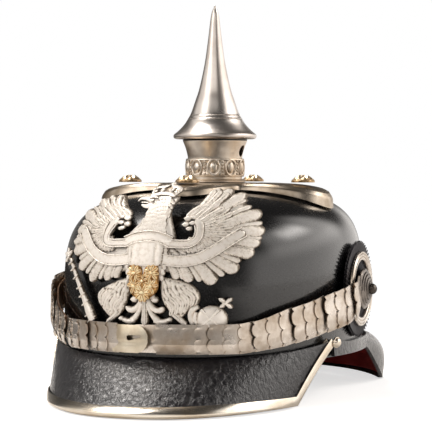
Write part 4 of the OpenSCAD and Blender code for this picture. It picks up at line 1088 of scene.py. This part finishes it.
class Relief:
    """Collects the strokes and raised forms of a stamped plate as one mesh"""

    def __init__(self):
        self.points, self.faces, self.values = [], [], []
        self.place = lambda x, z: (x, z)

    def put(self, x, z, lift, value):
        """Adds a point over the plate's ground; its value, 0 deep in the relief and 1 on its crest, is
        painted into the metal's colour as shade and highlight
        """
        self.points.append(over_plate(*self.place(x, z), lift))
        self.values.append(clamp01(value))

    def skin(self, start, rows, cols):
        """Faces round rows of points, with a lid on the first row and on the last"""
        for i in range(rows - 1):
            for j in range(cols):
                a, b = start + i * cols + j, start + i * cols + (j + 1) % cols
                self.faces.append((a, b, b + cols, a + cols))
        self.faces.append(tuple(start + j for j in range(cols)))
        self.faces.append(tuple(start + (rows - 1) * cols + j for j in reversed(range(cols))))

    def stroke(self, points, widths, heights, base, edge, quill=0.0, barb=0.0, across=7, per=3, tip=True):
        """A raised stroke along points, with half widths and heights; quill is the depth of a groove down
        its middle and barb that of slanting lines"""
        if barb:
            span = sum(sqrt((q[0] - p[0]) ** 2 + (q[1] - p[1]) ** 2) for p, q in zip(points, points[1:]))
            per = max(3, round(span / (len(points) - 1) / 0.3))
        line = [Vector(p) for p in curve_through(points, per)]
        n = len(line) - 1
        run = [0.0]
        for p, q in zip(line, line[1:]):
            run.append(run[-1] + (q - p).length)
        start, cols = len(self.points), across + 2
        for i, p in enumerate(line):
            d = (line[min(n, i + 1)] - line[max(0, i - 1)]).normalized()
            side, u = Vector((-d[1], d[0])), i / n
            w, h = along(widths, u), along(heights, u)
            left = run[-1] - run[i]
            if tip and left < w:
                # The last stretch narrows to a round end
                w *= sqrt(max(0.02, 1 - (1 - left / w) ** 2))
            for j in range(cols):
                k = min(1.0, max(-1.0, 2 * (j - 1) / (across - 1) - 1))
                round_up = sqrt(max(0.0, 1 - abs(k) ** 2.4))
                # Painted shade: the value falls to 0 at the stroke's edges, so that the edges between strokes
                # are painted dark
                value = 1 - abs(k) ** 3.5
                lift = base + edge + (h - edge) * round_up
                line_depth = quill * exp(-(k / 0.16) ** 2)
                if barb and abs(k) < 0.86:
                    slant = (run[i] - 1.3 * w * abs(k)) / 1.35
                    line_depth += barb * furrow(slant, 2) * (1 - exp(-(k / 0.2) ** 2))
                if j in (0, cols - 1):
                    lift, line_depth = base - 0.4, 0
                q = p + side * (k * w)
                # Painted shade: grooves are painted darker by their depth
                self.put(q[0], q[1], lift - line_depth, value - 2.4 * line_depth)
        self.skin(start, n + 1, cols)

    def form(self, outline, spine, height, base, shoulder, rings, stripes=(), tone=1.0):
        """A raised form inside a closed outline, whose rings run in to a line between two points.
        Stripes are (direction in degrees, pitch, depth, waver) of engraved lines"""
        loop = curve_through(outline + [outline[0]], 4)[:-1]
        (ax, az), (bx, bz) = spine
        start, reach = len(self.points), max(0.001, (bx - ax) ** 2 + (bz - az) ** 2)
        for r in range(-1, rings + 1):
            k = max(0, r) / rings
            for x, z in loop:
                t = clamp01(((x - ax) * (bx - ax) + (z - az) * (bz - az)) / reach)
                cx, cz = mix(ax, bx, t), mix(az, bz, t)
                px, pz = mix(x, cx, k * 0.995), mix(z, cz, k * 0.995)
                d = k * sqrt((cx - x) ** 2 + (cz - z) ** 2)
                lift = base + 0.5 + (height - 0.5) * sqrt(1 - (1 - clamp01(d / shoulder)) ** 2)
                # Painted shade: the value is low near the outline and in the engraved stripes, and tone
                # scales it all
                value = tone * clamp01(d / 0.9)
                for way, pitch, depth, waver in stripes:
                    phase = (px * dcos(way) + pz * dsin(way)) / pitch
                    phase += waver * sin((pz * dcos(way) - px * dsin(way)) * 0.8)
                    cut_in = depth * furrow(phase, 3) * clamp01(d / 1.2)
                    lift -= cut_in
                    value -= 2.2 * cut_in
                self.put(px, pz, base - 0.4 if r < 0 else lift, value)
        self.skin(start, rings + 2, len(loop))

    def dot(self, x, z, r, height, base):
        """A round bead, made as a short stroke"""
        self.stroke([(x - r * 0.98, z), (x, z + 0.001), (x + r * 0.98, z)],
                    [r * 0.2, r * 0.87, r, r * 0.87, r * 0.2], height, base, edge=0.3, per=4, tip=False)

    def cords(self, line, offsets, width, height, base):
        """Thin raised lines that run beside a path, each at its own distance"""
        path = [Vector(p) for p in curve_through(line, 3)]
        for off in offsets:
            beside = []
            for i, p in enumerate(path):
                d = (path[min(len(path) - 1, i + 1)] - path[max(0, i - 1)]).normalized()
                beside.append((p[0] - d[1] * off, p[1] + d[0] * off))
            self.stroke(beside, width, height, base, edge=0.15, across=5, per=1, tip=False)

    def piece(self, name):
        mesh = bpy.data.meshes.new(name)
        mesh.from_pydata([p * MM for p in self.points], [], self.faces)
        made = bpy.data.objects.new(name, mesh)
        bpy.context.scene.collection.objects.link(made)
        # The values go to the mesh as painted shade and painted highlight for the metal's colour
        layer = mesh.attributes.new("relief", "FLOAT", "POINT")
        for i, value in enumerate(self.values):
            layer.data[i].value = value
        picked(made)
        bpy.ops.object.mode_set(mode="EDIT")
        bpy.ops.mesh.select_all(action="SELECT")
        bpy.ops.mesh.normals_make_consistent(inside=False)
        bpy.ops.object.mode_set(mode="OBJECT")
        return made


# Feathers of a wing: root, middle, tip and half width
BROAD = [
    ((26, 114), (29.2, 120.5), (31.6, 127.2), 2.9), ((29, 113), (34, 120.5), (38.2, 126.6), 3.4),
    ((33, 110), (40.2, 118.2), (46, 123.8), 3.9), ((40, 105.5), (49.3, 110.4), (57.2, 112.2), 4.1),
    ((46, 101.8), (53.4, 103), (60.4, 102), 3.8), ((46, 98), (53, 96.8), (59.4, 95.6), 3.4),
    ((43.5, 92.8), (50.6, 91.4), (57.2, 89.6), 3.8), ((37.5, 88.6), (44.2, 84.4), (50.2, 80.2), 4.0),
    ((30, 85), (35, 79), (39.2, 73.4), 4.0), ((22.5, 83.6), (25, 78.6), (26.6, 74.4), 3.5),
    ((15.6, 83.6), (18.2, 79.6), (19.6, 76), 3.0)]
SLIM = [
    ((36, 111), (41.6, 116.6), (47.4, 120.6), 1.4), ((38, 108), (45, 113.6), (51, 116.8), 1.7),
    ((44, 104), (51.6, 106.6), (58.4, 107.2), 1.6), ((47, 99.6), (53.6, 99.4), (59.6, 98.6), 1.4),
    ((45, 95), (51.6, 93.8), (57, 92.6), 1.3), ((41, 90.6), (46.4, 88), (51.2, 85.8), 1.8),
    ((34.5, 86.4), (39.6, 81.8), (43.6, 77.8), 1.8), ((26.4, 83.6), (29.8, 78.6), (32, 74.8), 1.8),
    ((19.6, 83), (21.6, 79), (22.6, 76), 1.5)]
SWEPT = [
    ((21.6, 111.6), (24.2, 114.4), (28.2, 117.4), 1.8), ((23.6, 111), (27.4, 115.4), (31.2, 119.2), 1.7),
    ((25.6, 110.4), (30.2, 115.4), (33.6, 120), 1.6), ((27.4, 109.4), (32, 114.4), (36.6, 119), 1.6),
    ((29, 108.4), (34.2, 112.6), (39.4, 116.4), 1.6), ((27.6, 116), (30, 121), (30.6, 126.6), 1.6),
    ((29.4, 115.6), (32.4, 120.6), (34.2, 126), 1.7), ((31.6, 115), (35.8, 120), (38.6, 124.6), 1.7)]


def wing(plate):
    # Ground under the feathers, so that none of the skull shows between them
    plate.form([(8, 96), (19, 97.4), (26, 97.6), (29, 103), (27, 110), (23, 113), (30, 119), (30.5, 126),
                (38, 125), (45, 121), (54, 111), (57.6, 102), (55, 93), (46, 83), (38, 77.4), (26, 78),
                (15, 79.6), (8, 83)], ((18, 89), (44, 106)), 1.1, 0.0, 1.5, rings=5)
    for feathers, base, height, barb, across in ((SLIM, 0.2, 1.9, 0.1, 9), (BROAD, 0.5, 2.3, 0.2, 15)):
        for root, middle, tip, width in feathers:
            plate.stroke([root, middle, tip], [width * 0.72, width * 0.9, width],
                         [height, height, height * 0.8], base, edge=0.5, quill=0.12, barb=barb, across=across)

    def reach(a):
        return mix(13.4, 19.5, smooth((a + 48) / 45)) - 2.5 * smooth((a - 30) / 40)
    # Two rows of short feathers fan out from the wing's bone
    for count, inner, outer, width, base in ((17, 8.0, 1.0, 1.9, 1.5), (19, 4.5, 0.68, 1.25, 2.1)):
        for i in range(count):
            a = mix(-108, 74, i / (count - 1))
            far = reach(a) * outer
            ends = [(27 + r * dcos(a - b), 104 + r * dsin(a - b)) for r, b in
                    ((inner, 0), (mix(inner, far, 0.5), 2), (far, 0))]
            plate.stroke(ends, [width * 0.8, width, width * 0.9], [1.5, 1.7, 1.3], base, edge=0.25, quill=0.3,
                         barb=0.14, across=9)
    # Leaves and long feathers that sweep up from the curl at the bone's end
    for root, middle, tip, width in SWEPT:
        plate.stroke([root, middle, tip], [width * 0.7, width, width], 1.7, 2.3, edge=0.3, quill=0.25,
                     barb=0.1)
    # Plain band across the wing between two raised cords
    band = [(6, 88.4), (13, 86.9), (21.6, 86.2), (29.2, 87.2), (35.6, 90), (41.6, 94.2), (47, 98.6),
            (52.6, 102.8)]
    plate.stroke(band, [3, 3.1, 3.2, 3.3, 3.3, 3.2, 3.1, 2.6], 1.0, 2.9, edge=0.9, per=4)
    plate.cords(band, (-2.9, 2.9), 0.42, 0.9, 3.5)
    # The wing's bone turns up round the gap to a knot of beads
    bone = [(9, 96.4), (16, 96.2), (22, 95.9), (26.6, 96.5), (29.6, 99.4), (30.2, 103.4), (29.2, 107.2),
            (26.6, 110)]
    plate.stroke(bone, [2.4, 2.5, 2.4, 2.6, 2.9, 2.9, 2.6, 1.8], [2.0, 2.1, 2.1, 2.2, 2.2, 2.1, 1.9, 1.5],
                 2.3, edge=0.6, across=9, per=4)
    plate.cords(bone[:7], (-2.1, 0.9, 2.1), 0.42, 0.8, 4.0)
    for x, z, r in ((22.4, 110.4, 1.9), (21.9, 107.0, 1.7), (24.2, 104.6, 1.5), (25.4, 107.8, 1.5),
                    (25.4, 111, 1.3)):
        plate.dot(x, z, r, 2.3, 2.2)


def short_feathers(plate, spots, size, height, base):
    """Short overlapping feathers; each spot is (x, z, tilt from straight down)"""
    for x, z, tilt in spots:
        dx, dz = dsin(tilt) * size, -dcos(tilt) * size
        plate.stroke([(x - dx * 0.5, z - dz * 0.5), (x, z), (x + dx * 0.8, z + dz * 0.8)],
                     [size * 0.4, size * 0.52, size * 0.46], [height * 0.7, height, height * 0.8], base,
                     edge=0.15, quill=0.12)


def eagle_trunk(plate):
    # Neck, breast and belly in one swelling form
    plate.form([(-8, 76), (-9.6, 84), (-10.6, 91), (-12, 98), (-12.4, 101.2), (-7.4, 106.6), (-3.1, 112.4),
                (-3.0, 117), (-3.4, 122.4), (3.4, 124.2), (11.2, 122.6), (12.2, 120), (10.6, 116),
                (10.9, 112.6), (13.4, 107), (15.8, 101.8), (16.4, 97.6), (14, 91), (12.8, 84), (11, 76),
                (2, 72.4)],
               ((2.4, 82), (4, 118)), 3.9, 0.1, 5.0, rings=16)
    # Rows of small feathers down the neck, a little out of line
    spots = []
    for row in range(13):
        z, past = 122 - row * 2.1, max(0, row - 4)
        low, high = -3.0 - 0.55 * past ** 1.15, 10.6 + 0.35 * past
        count = 7 + row // 2
        for i in range(count):
            k = (i + (0.5 if row % 2 else 0.1)) / count
            stray = 0.14 * ((i * 37 + row * 17) % 9 - 4)
            spots.append((mix(low + 1, high - 0.6, k), z + stray, (k - 0.5) * 50 + 22 * stray))
    short_feathers(plate, spots, 2.3, 0.6, 3.6)
    # Plain band across the foot of the neck between two cords
    collar = [(-12.2, 97.0), (-6, 99.4), (1.6, 100.4), (9, 99.6), (15.6, 97.0)]
    plate.stroke(collar, 2.9, 1.2, 3.5, edge=0.9, per=5, tip=False)
    plate.cords(collar, (-2.9, 2.9), 0.45, 1.0, 4.3)
    # Plain raised field on the breast, hung in upright folds
    plate.form([(-9.6, 96.4), (-2, 98), (5, 98), (11.4, 96.4), (11.8, 90), (10.6, 83.6), (1, 82.6),
                (-8.6, 83.6), (-9.8, 90)], ((-3, 90), (5, 90)), 1.8, 3.3, 2.0, rings=22,
               stripes=((0, 4.9, 0.22, 0.0), (0, 1.6, 0.05, 0.0)))
    # Short feathers down both flanks and under the wing
    sides = [(s * x + 1.2, z, s * 20) for s in (-1, 1) for x, z in
             ((11.2, 93.2), (11.8, 90), (11.4, 86.8), (11.3, 83.6), (10.6, 80.4), (10, 77.2))]
    short_feathers(plate, sides, 2.9, 1.0, 2.9)
    between = [(11.6 + i * 2.1, 91.8 - (i % 2) * 1.9 + i * 0.2, 64) for i in range(7)]
    short_feathers(plate, between, 2.8, 1.2, 1.0)


def eagle_head(plate):
    # Open beak with its tongue, brow, eye and a tuft at the back of the head
    plate.stroke([(-1.6, 120.4), (-5.6, 121.6), (-9.4, 121.4), (-11.2, 119.8)], [2.2, 1.5, 1.0, 0.4],
                 [1.9, 1.7, 1.4, 0.9], 2.6, edge=0.3, per=5)
    plate.stroke([(-1.8, 117.2), (-5.4, 117.2), (-8.2, 118)], [1.9, 1.3, 0.5], [1.6, 1.4, 1.0], 2.3,
                 edge=0.3, per=4)
    plate.stroke([(-2.6, 118.8), (-6, 119.3), (-9, 119.3)], [0.5, 0.45, 0.3], 1.0, 2.5, edge=0.2, across=5)
    plate.stroke([(-3.4, 121.9), (-0.6, 122.6), (2.2, 121.8)], [0.5, 0.8, 0.4], 1.0, 4.2, edge=0.2, across=5)
    plate.dot(-0.9, 120.6, 0.95, 1.0, 4.3)
    for i in range(4):
        plate.stroke([(7.6 - i * 0.2, 121.4 - i * 2.2), (10.2, 120 - i * 2.3),
                      (12.4 - i * 0.3, 118.2 - i * 2.6)],
                     [1.0, 1.2, 0.6], 1.2, 2.9, edge=0.2, quill=0.2, across=5)
    # Crown: band, open arches, pearls and a ball on top
    plate.stroke([(-3.2, 123), (2.4, 124.4), (7.6, 124.2), (11.6, 122.8)], 1.2, 1.4, 3.4, edge=0.5)
    for a, b, c in (((-2.6, 124), (-3, 127.2), (4.2, 128.8)), ((2, 124.8), (2, 127.6), (5, 129.2)),
                    ((7, 125), (8.4, 127.6), (6.2, 129.2)), ((11, 124), (12.8, 126.8), (7, 128.9))):
        plate.stroke([a, b, c], 0.95, 1.3, 3.1, edge=0.3, per=5)
    for x, z in ((-1.6, 125.8), (2.4, 126.6), (6.8, 126.4), (11, 125.4), (-2.8, 127.2), (12.6, 126.4)):
        plate.dot(x, z, 0.9, 1.3, 3.5)
    plate.dot(6.6, 129.9, 1.2, 1.5, 3.1)


def eagle_legs(plate):
    # A feathered thigh and a bare shank on each side
    for side, outline, middle, shank in (
            (1, [(10.4, 77.4), (16, 76.6), (22, 75.2), (28, 72.4), (31.6, 67.6), (31, 62.2), (27.4, 59.6),
                 (24.6, 56.4), (21.6, 54.2), (17, 56.4), (13, 60.8), (10.4, 68)],
             ((18, 69), (24, 64)), [(17.4, 57), (21, 53.6), (25.4, 49.6)]),
            (-1, [(-8, 77), (-13, 75.8), (-19.4, 73.6), (-26, 70.6), (-30.6, 66.4), (-31, 62), (-27.4, 57.6),
                  (-22.4, 53.6), (-18, 54.2), (-14, 56.2), (-10.6, 62.6), (-8.6, 69)],
             ((-17, 68), (-23, 63)), [(-16.2, 56.8), (-20, 53.4), (-24.6, 49.8)])):
        plate.form(outline, middle, 3.1, 0.1, 4.5, rings=32,
                   stripes=((side * 24, 2.3, 0.3, 0.2), (90 - side * 30, 6.4, 0.2, 0.35)))
        # Tufts over the knee and down to the shank
        for i in range(5):
            k = i / 4
            x, z = mix(29, 17.5, k) * side, mix(66, 60.5, k)
            end = (x - side * 1.0, z - 5.2 - 1.2 * sin(pi * k))
            plate.stroke([(x - side * 3.4, z + 3.4), (x, z - 0.4), end], [1.3, 1.7, 1.0], [1.3, 1.5, 1.0],
                         2.3, edge=0.25, quill=0.25, per=5)
        plate.stroke(shank, [2.1, 1.7, 1.5], 1.9, 0.7, edge=0.5)
        plate.stroke([(x - side * 0.3, z + 0.2) for x, z in shank], 0.4, 0.8, 2.4, edge=0.1, across=5)


def eagle_tail(plate):
    # A plain shaft with two cords, and scrolls on both sides of it
    c = 0.9
    plate.stroke([(c, 67), (c, 60), (c, 54), (c, 49.6)], [1.7, 1.7, 2.2, 3.0], 2.1, 0.5, edge=0.5, across=9)
    plate.cords([(c, 66), (c, 58), (c, 50)], (-0.7, 0.7), 0.35, 0.6, 2.4)
    for side in (-1, 1):
        def run(*spots):
            return [(c + side * x, z) for x, z in spots]
        # Curls close under the gilt, arms that turn up at their ends, and the low leaves
        plate.stroke(run((1.0, 66.6), (3.6, 66.8), (6.0, 64.6)), [1.3, 1.8, 2.2], 2.4, 0.6, edge=0.5)
        plate.dot(c + side * 6.4, 64.2, 2.0, 2.6, 0.6)
        plate.stroke(run((1.6, 65), (3.6, 61), (6.6, 58.4), (9.6, 58.2), (11.6, 60)),
                     [1.5, 1.6, 1.9, 1.9, 1.4], 2.2, 0.5, edge=0.5, per=5)
        plate.stroke(run((1.6, 62), (3.4, 57.6), (6.2, 53.6), (9.4, 51.6)), [1.4, 1.5, 1.9, 2.2], 2.1, 0.5,
                     edge=0.4)
        plate.stroke(run((6, 52.4), (10, 51.4), (14.6, 52.8)), [1.5, 1.9, 1.3], 2.2, 0.7, edge=0.5)
        plate.dot(c + side * 14.8, 53, 1.5, 2.5, 0.8)


def sceptre_and_orb(plate):
    # Sceptre: a shaft that swells to its foot, with collars and a small cross at its head
    shaft = [(-35.2, 50.4), (-38.6, 56.4), (-43.6, 64.6), (-48.8, 72.4), (-55, 81.4), (-58.8, 85.6)]
    plate.stroke(shaft, [3.2, 3.4, 2.2, 1.8, 1.5, 1.2], [3, 3, 2.4, 2.1, 1.9, 1.6], 0.6, edge=0.5, across=9,
                 per=5)
    for x, z, w in ((-35.6, 51.4, 3.9), (-37.6, 54.6, 4.0), (-41, 60.6, 3.2), (-43.8, 65, 3.0),
                    (-46.6, 69.4, 2.5), (-50.4, 75, 2.5), (-53.6, 79.6, 2.3), (-56.4, 83, 2.3)):
        plate.stroke([(x - w * 0.84, z - w * 0.54), (x, z), (x + w * 0.84, z + w * 0.54)], 0.65, 1.9, 1.7,
                     edge=0.3, across=5)
    for dx, dz in ((-4.6, 1.6), (3.4, 3.4), (-1.4, 4.8), (-3.2, -3.6)):
        plate.stroke([(-60.2, 86.6), (-60.2 + dx, 86.6 + dz)], [1.2, 1.9], 1.9, 1.0, edge=0.4)
    plate.dot(-60.2, 86.6, 2.0, 2.5, 1.0)
    # Claws beside the orb, then its ball, two crossing bands and a cross with four petals
    plate.stroke([(31.4, 60.4), (28.2, 58.6), (27.4, 54.4), (28.8, 50)], [1.2, 1.9, 1.9, 1.4], 2.2, 0.5,
                 edge=0.5, per=5)
    plate.stroke([(30.4, 57.4), (29.8, 53.6), (31, 50.4)], [0.8, 1.3, 1.0], 2.4, 1.0, edge=0.4)
    ball = [(38 + 8 * dcos(a), 52.9 + 8.2 * dsin(a)) for a in range(0, 360, 24)]
    plate.form(ball, ((37.9, 53), (38.1, 53)), 3.4, 0.3, 6.5, rings=12)
    for line in ([(33.4, 58.8), (38, 53.8), (42.6, 48.8)], [(42.6, 58.8), (38, 53.8), (33.4, 48.8)]):
        plate.stroke(line, 0.9, 1.1, 2.9, edge=0.2, per=5)
    for dx, dz in ((3.0, 2.9), (-3.2, 2.9), (3.2, -2.9), (-2.6, -2.4)):
        plate.stroke([(45.2, 62.3), (45.2 + dx, 62.3 + dz)], [0.7, 1.5], 1.8, 0.9, edge=0.4)
    plate.dot(45.2, 62.3, 1.2, 2.3, 1.0)


def mirrored(x, z):
    """Where a point of the drawn wing lies on the other wing, which is seen from beyond its edge"""
    draw_in = 6.5 * smooth((z - 98) / 8) * clamp01((34 - x) / 12)
    return (-(x * (0.96 - 0.06 * smooth((z - 93) / 10)) - draw_in), z - 4 * smooth((z - 112) / 16))


def eagle():
    plate = Relief()
    wing(plate)
    plate.place = mirrored
    wing(plate)
    plate.place = lambda x, z: (x, z)
    eagle_legs(plate)
    eagle_trunk(plate)
    eagle_head(plate)
    eagle_tail(plate)
    sceptre_and_orb(plate)
    finished(plate.piece("eagle_stamping"), FROSTED, "helmet", ["eagle_plate"], 60)


def breast_leaves():
    # Gilt leaves on the breast: rosettes over a low ground, each a fan of leaves round a bead
    gilt = Relief()
    base = 4.2
    # The low ground is painted darker, as painted shade between the leaves
    gilt.form([(-7.8, 83.8), (-3.4, 84.8), (-0.2, 82), (0.8, 77), (1.8, 82), (5, 84.8), (9.2, 84), (10.2, 77),
               (9.6, 70), (6, 66), (1, 63.6), (-4.4, 66), (-7.4, 70), (-8, 77)], ((-2.4, 74), (4, 74)),
              0.7, base, 1.5, rings=8, tone=0.25)
    for cx, cz, turn, size, leaves in (
            (-4.4, 79.4, 8, 1.05, 8), (6, 79.6, -8, 1.05, 8), (-4.4, 72, 60, 1.0, 7), (6, 72, -60, 1.0, 7),
            (0.9, 68.4, 180, 1.2, 10), (0.9, 75, 0, 0.8, 5)):
        for i in range(leaves):
            way = turn + (i - (leaves - 1) / 2) * 330 / leaves
            dx, dz = dsin(way) * 4.4 * size, dcos(way) * 4.7 * size
            gilt.stroke([(cx + dx * k, cz + dz * k) for k in (0.1, 0.6, 1)],
                        [0.5 * size, 1.3 * size, 0.9 * size], [1.2, 1.6, 1.0], base + 0.3, edge=0.15,
                        quill=0.4, across=9, per=4)
        gilt.dot(cx, cz, 1.2 * size, 1.9, base + 0.6)
    finished(gilt.piece("gilt_leaves"), GILT, "helmet", ["breast_ornament"], 60)


# Inside

def sweatband():
    def place(u, v):
        a = 360 * u
        wave = 0.22 * dsin(a * 9) * smooth((v - 0.2) / 0.8) + 0.08 * dsin(a * 31) * v
        grow = -WALL - 1.4 - abs(wave)
        return oval(SKULL_A + grow, SKULL_B + grow, a, RIM_Z + 0.5 + SWEATBAND_H * v)
    piece = laid("sweatband_leather", 180, 12, place)
    thickened(piece, 1.3, 10, piece.data.polygons[10].center)
    finished(piece, TAN, "helmet", ["sweatband"], 50)


def silk_liner():
    inset = WALL + 3.2
    foot = RIM_Z + SWEATBAND_H - 8
    rise = LINER_CROWN_Z - foot
    top_lift = acos((LINER_HOLE_R / (SKULL_A - inset)) ** 1.5)

    def place(u, v):
        a, lift = 360 * u, v * top_lift
        gather = smooth((v - 0.25) / 0.75)
        fold = (0.5 + 0.5 * dsin(a * 30 + 40 * dsin(a * 3))) * 2.2 * gather
        fold += 0.35 * (1 + dsin(a * 17 + 60)) * smooth(v * 2) * (1 - gather)
        r = cos(lift) ** (2 / 3)
        z = foot + (rise - 0.6 * fold) * max(0.0, sin(lift)) ** (2 / 3)
        return oval((SKULL_A - inset - fold) * r, (SKULL_B - inset - fold) * r, a, z)
    liner = laid("gathered_silk_liner", 360, 20, place)
    thickened(liner, 0.4, 10, -liner.data.polygons[10].center, offset=1)
    finished(liner, SILK, "helmet", ["silk_liner"], 60)


# Fixings that keep their CAD shape

def repaint(node, material):
    """Gives a piece of the frame, which is shown as it is, another material"""
    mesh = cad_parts[node]
    if not mesh.material_slots:
        mesh.data.materials.append(material)
    for s in mesh.material_slots:
        s.link = "OBJECT"
        s.material = material


# Stage

# Bright fields round the helmet: (azimuth, height, half width, half height, edge) in degrees, and strength
PANELS = [
    (22, 4, 46, 20, 9, 1.2),
    (30, 34, 36, 16, 8, 1.5),
    (28, 40, 14, 6, 7, 4.5),
    (84, 2, 14, 14, 6, 0.8),
    (165, 67, 26, 8, 6, 18),
    (-84, 25, 32, 9, 8, 1.6),
    (-128, 28, 16, 22, 9, 2.4),
    (-168, 30, 26, 26, 12, 0.8),
]
WHITE = (1, 1, 1, 1)


def studio_floor():
    deselect()
    bpy.ops.mesh.primitive_plane_add(size=6, location=(0, 0, 0))
    floor = named("studio_floor")
    made, tree, where = new_material("matt_white_floor")
    path = add_node(tree, "ShaderNodeLightPath")
    paper = add_node(tree, "ShaderNodeBsdfDiffuse", {"Color": linear("f4f2f0")}).outputs[0]
    glow = add_node(tree, "ShaderNodeEmission", {"Color": WHITE, "Strength": 0.66}).outputs[0]
    near = add_node(tree, "ShaderNodeAddShader", {0: paper, 1: glow}).outputs[0]
    far = add_node(tree, "ShaderNodeEmission", {"Color": WHITE, "Strength": 1.02}).outputs[0]
    away = add_node(tree, "ShaderNodeVectorMath", {0: where}, operation="LENGTH").outputs["Value"]
    fade = spread(tree, away, 0.13, 0.3, interpolation_type="SMOOTHSTEP")
    seen = mixed(tree, fade, near, far)
    # The metal and the leather mirror a table whose edge lies in front, towards the dark room
    aside = add_node(tree, "ShaderNodeVectorMath", {0: where, 1: (0.8, 0.6, 0)}, operation="DOT_PRODUCT")
    front = spread(tree, aside.outputs["Value"], 0.1, 0.4, 1.0, 0.0)
    edge = spread(tree, away, 0.28, 0.6, 0.0, front)
    room = add_node(tree, "ShaderNodeBsdfDiffuse", {"Color": linear("2c2a28")}).outputs[0]
    mirrored_floor = mixed(tree, edge, paper, room)
    pick = mixed(tree, path.outputs["Is Camera Ray"], mirrored_floor, seen)
    add_node(tree, "ShaderNodeOutputMaterial", {"Surface": pick})
    floor.data.materials.append(made)


def panel(tree, way, rise, azimuth, height, half_width, half_height, soft, strength):
    """A soft-edged bright field in the surroundings; the azimuth runs from +X towards +Y"""
    facing = add_node(tree, "ShaderNodeVectorRotate", {
        "Vector": way, "Angle": radians(-azimuth)}, rotation_type="Z_AXIS")
    part = add_node(tree, "ShaderNodeSeparateXYZ", {0: facing.outputs[0]})
    across = calc(tree, "ARCTAN2", part.outputs["Y"], part.outputs["X"])
    above = calc(tree, "SUBTRACT", rise, radians(height))
    fields = [spread(tree, calc(tree, "ABSOLUTE", value), radians(half - soft), radians(half + soft),
                     1.0, 0.0, interpolation_type="SMOOTHSTEP")
              for value, half in ((across, half_width), (above, half_height))]
    return calc(tree, "MULTIPLY", calc(tree, "MULTIPLY", *fields), strength)


def surroundings():
    # What the metal mirrors: a dim room with the bright fields; the camera itself sees plain white
    world = bpy.data.worlds.new("studio")
    bpy.context.scene.world = world
    world.use_nodes = True
    tree = world.node_tree
    tree.nodes.clear()
    path = add_node(tree, "ShaderNodeLightPath")
    way = add_node(tree, "ShaderNodeTexCoord").outputs["Generated"]
    up = add_node(tree, "ShaderNodeSeparateXYZ", {0: way}).outputs["Z"]
    rise = calc(tree, "ARCSINE", up)
    total = spread(tree, up, -0.1, 0.4, 0.24, 0.04, interpolation_type="SMOOTHSTEP")
    for field in PANELS:
        total = calc(tree, "ADD", total, panel(tree, way, rise, *field))
    soft = add_node(tree, "ShaderNodeBackground", {"Color": linear("fffaf5"), "Strength": total})
    white = add_node(tree, "ShaderNodeBackground", {"Color": WHITE, "Strength": 1.0})
    pick = mixed(tree, path.outputs["Is Camera Ray"], soft.outputs[0], white.outputs[0])
    add_node(tree, "ShaderNodeOutputWorld", {"Surface": pick})


def photo_camera():
    # The photo's own view, from the wearer's left of straight ahead; its picture is measured in pixels
    side, focal, shift, drop = 432, 1683, 1, 46
    away, height, turn = 1.065, 0.138, radians(21)
    data = bpy.data.cameras.new("photo_camera")
    data.sensor_width = 36
    data.lens = focal / side * data.sensor_width
    data.clip_start, data.clip_end = 0.01, 50
    camera = bpy.data.objects.new("photo_camera", data)
    bpy.context.scene.collection.objects.link(camera)
    camera.location = (away * sin(turn), -away * cos(turn), height)
    level = Vector((-sin(turn), cos(turn), 0))
    right = Vector((cos(turn), sin(turn), 0))
    look = level + right * (shift / focal) + DOWN * (drop / focal)
    camera.rotation_euler = look.to_track_quat("-Z", "Y").to_euler()
    bpy.context.scene.camera = camera


skull_leather()
front_visor_leather()
front_visor_lining()
front_trim()
trim_knobs()
rear_visor_leather()
rear_visor_lining()
spine()
cross_base()
star_studs()
neck()
pearl_ring()
spike_point()
cockades()
chin_straps()
end_plates()
eagle()
breast_leaves()
sweatband()
silk_liner()
repaint("spine_pins", SILVER)
repaint("cockade_screws", DARK_STEEL)
for fixing in ("base_stud_nuts", "eagle_nuts", "cockade_nuts", "thread_ring", "plate_posts"):
    repaint(fixing, DULL_BRASS)
repaint("spike_washer", BLACK_WASHER)
studio_floor()
surroundings()
photo_camera()

bpy.context.scene.view_settings.view_transform = "Standard"
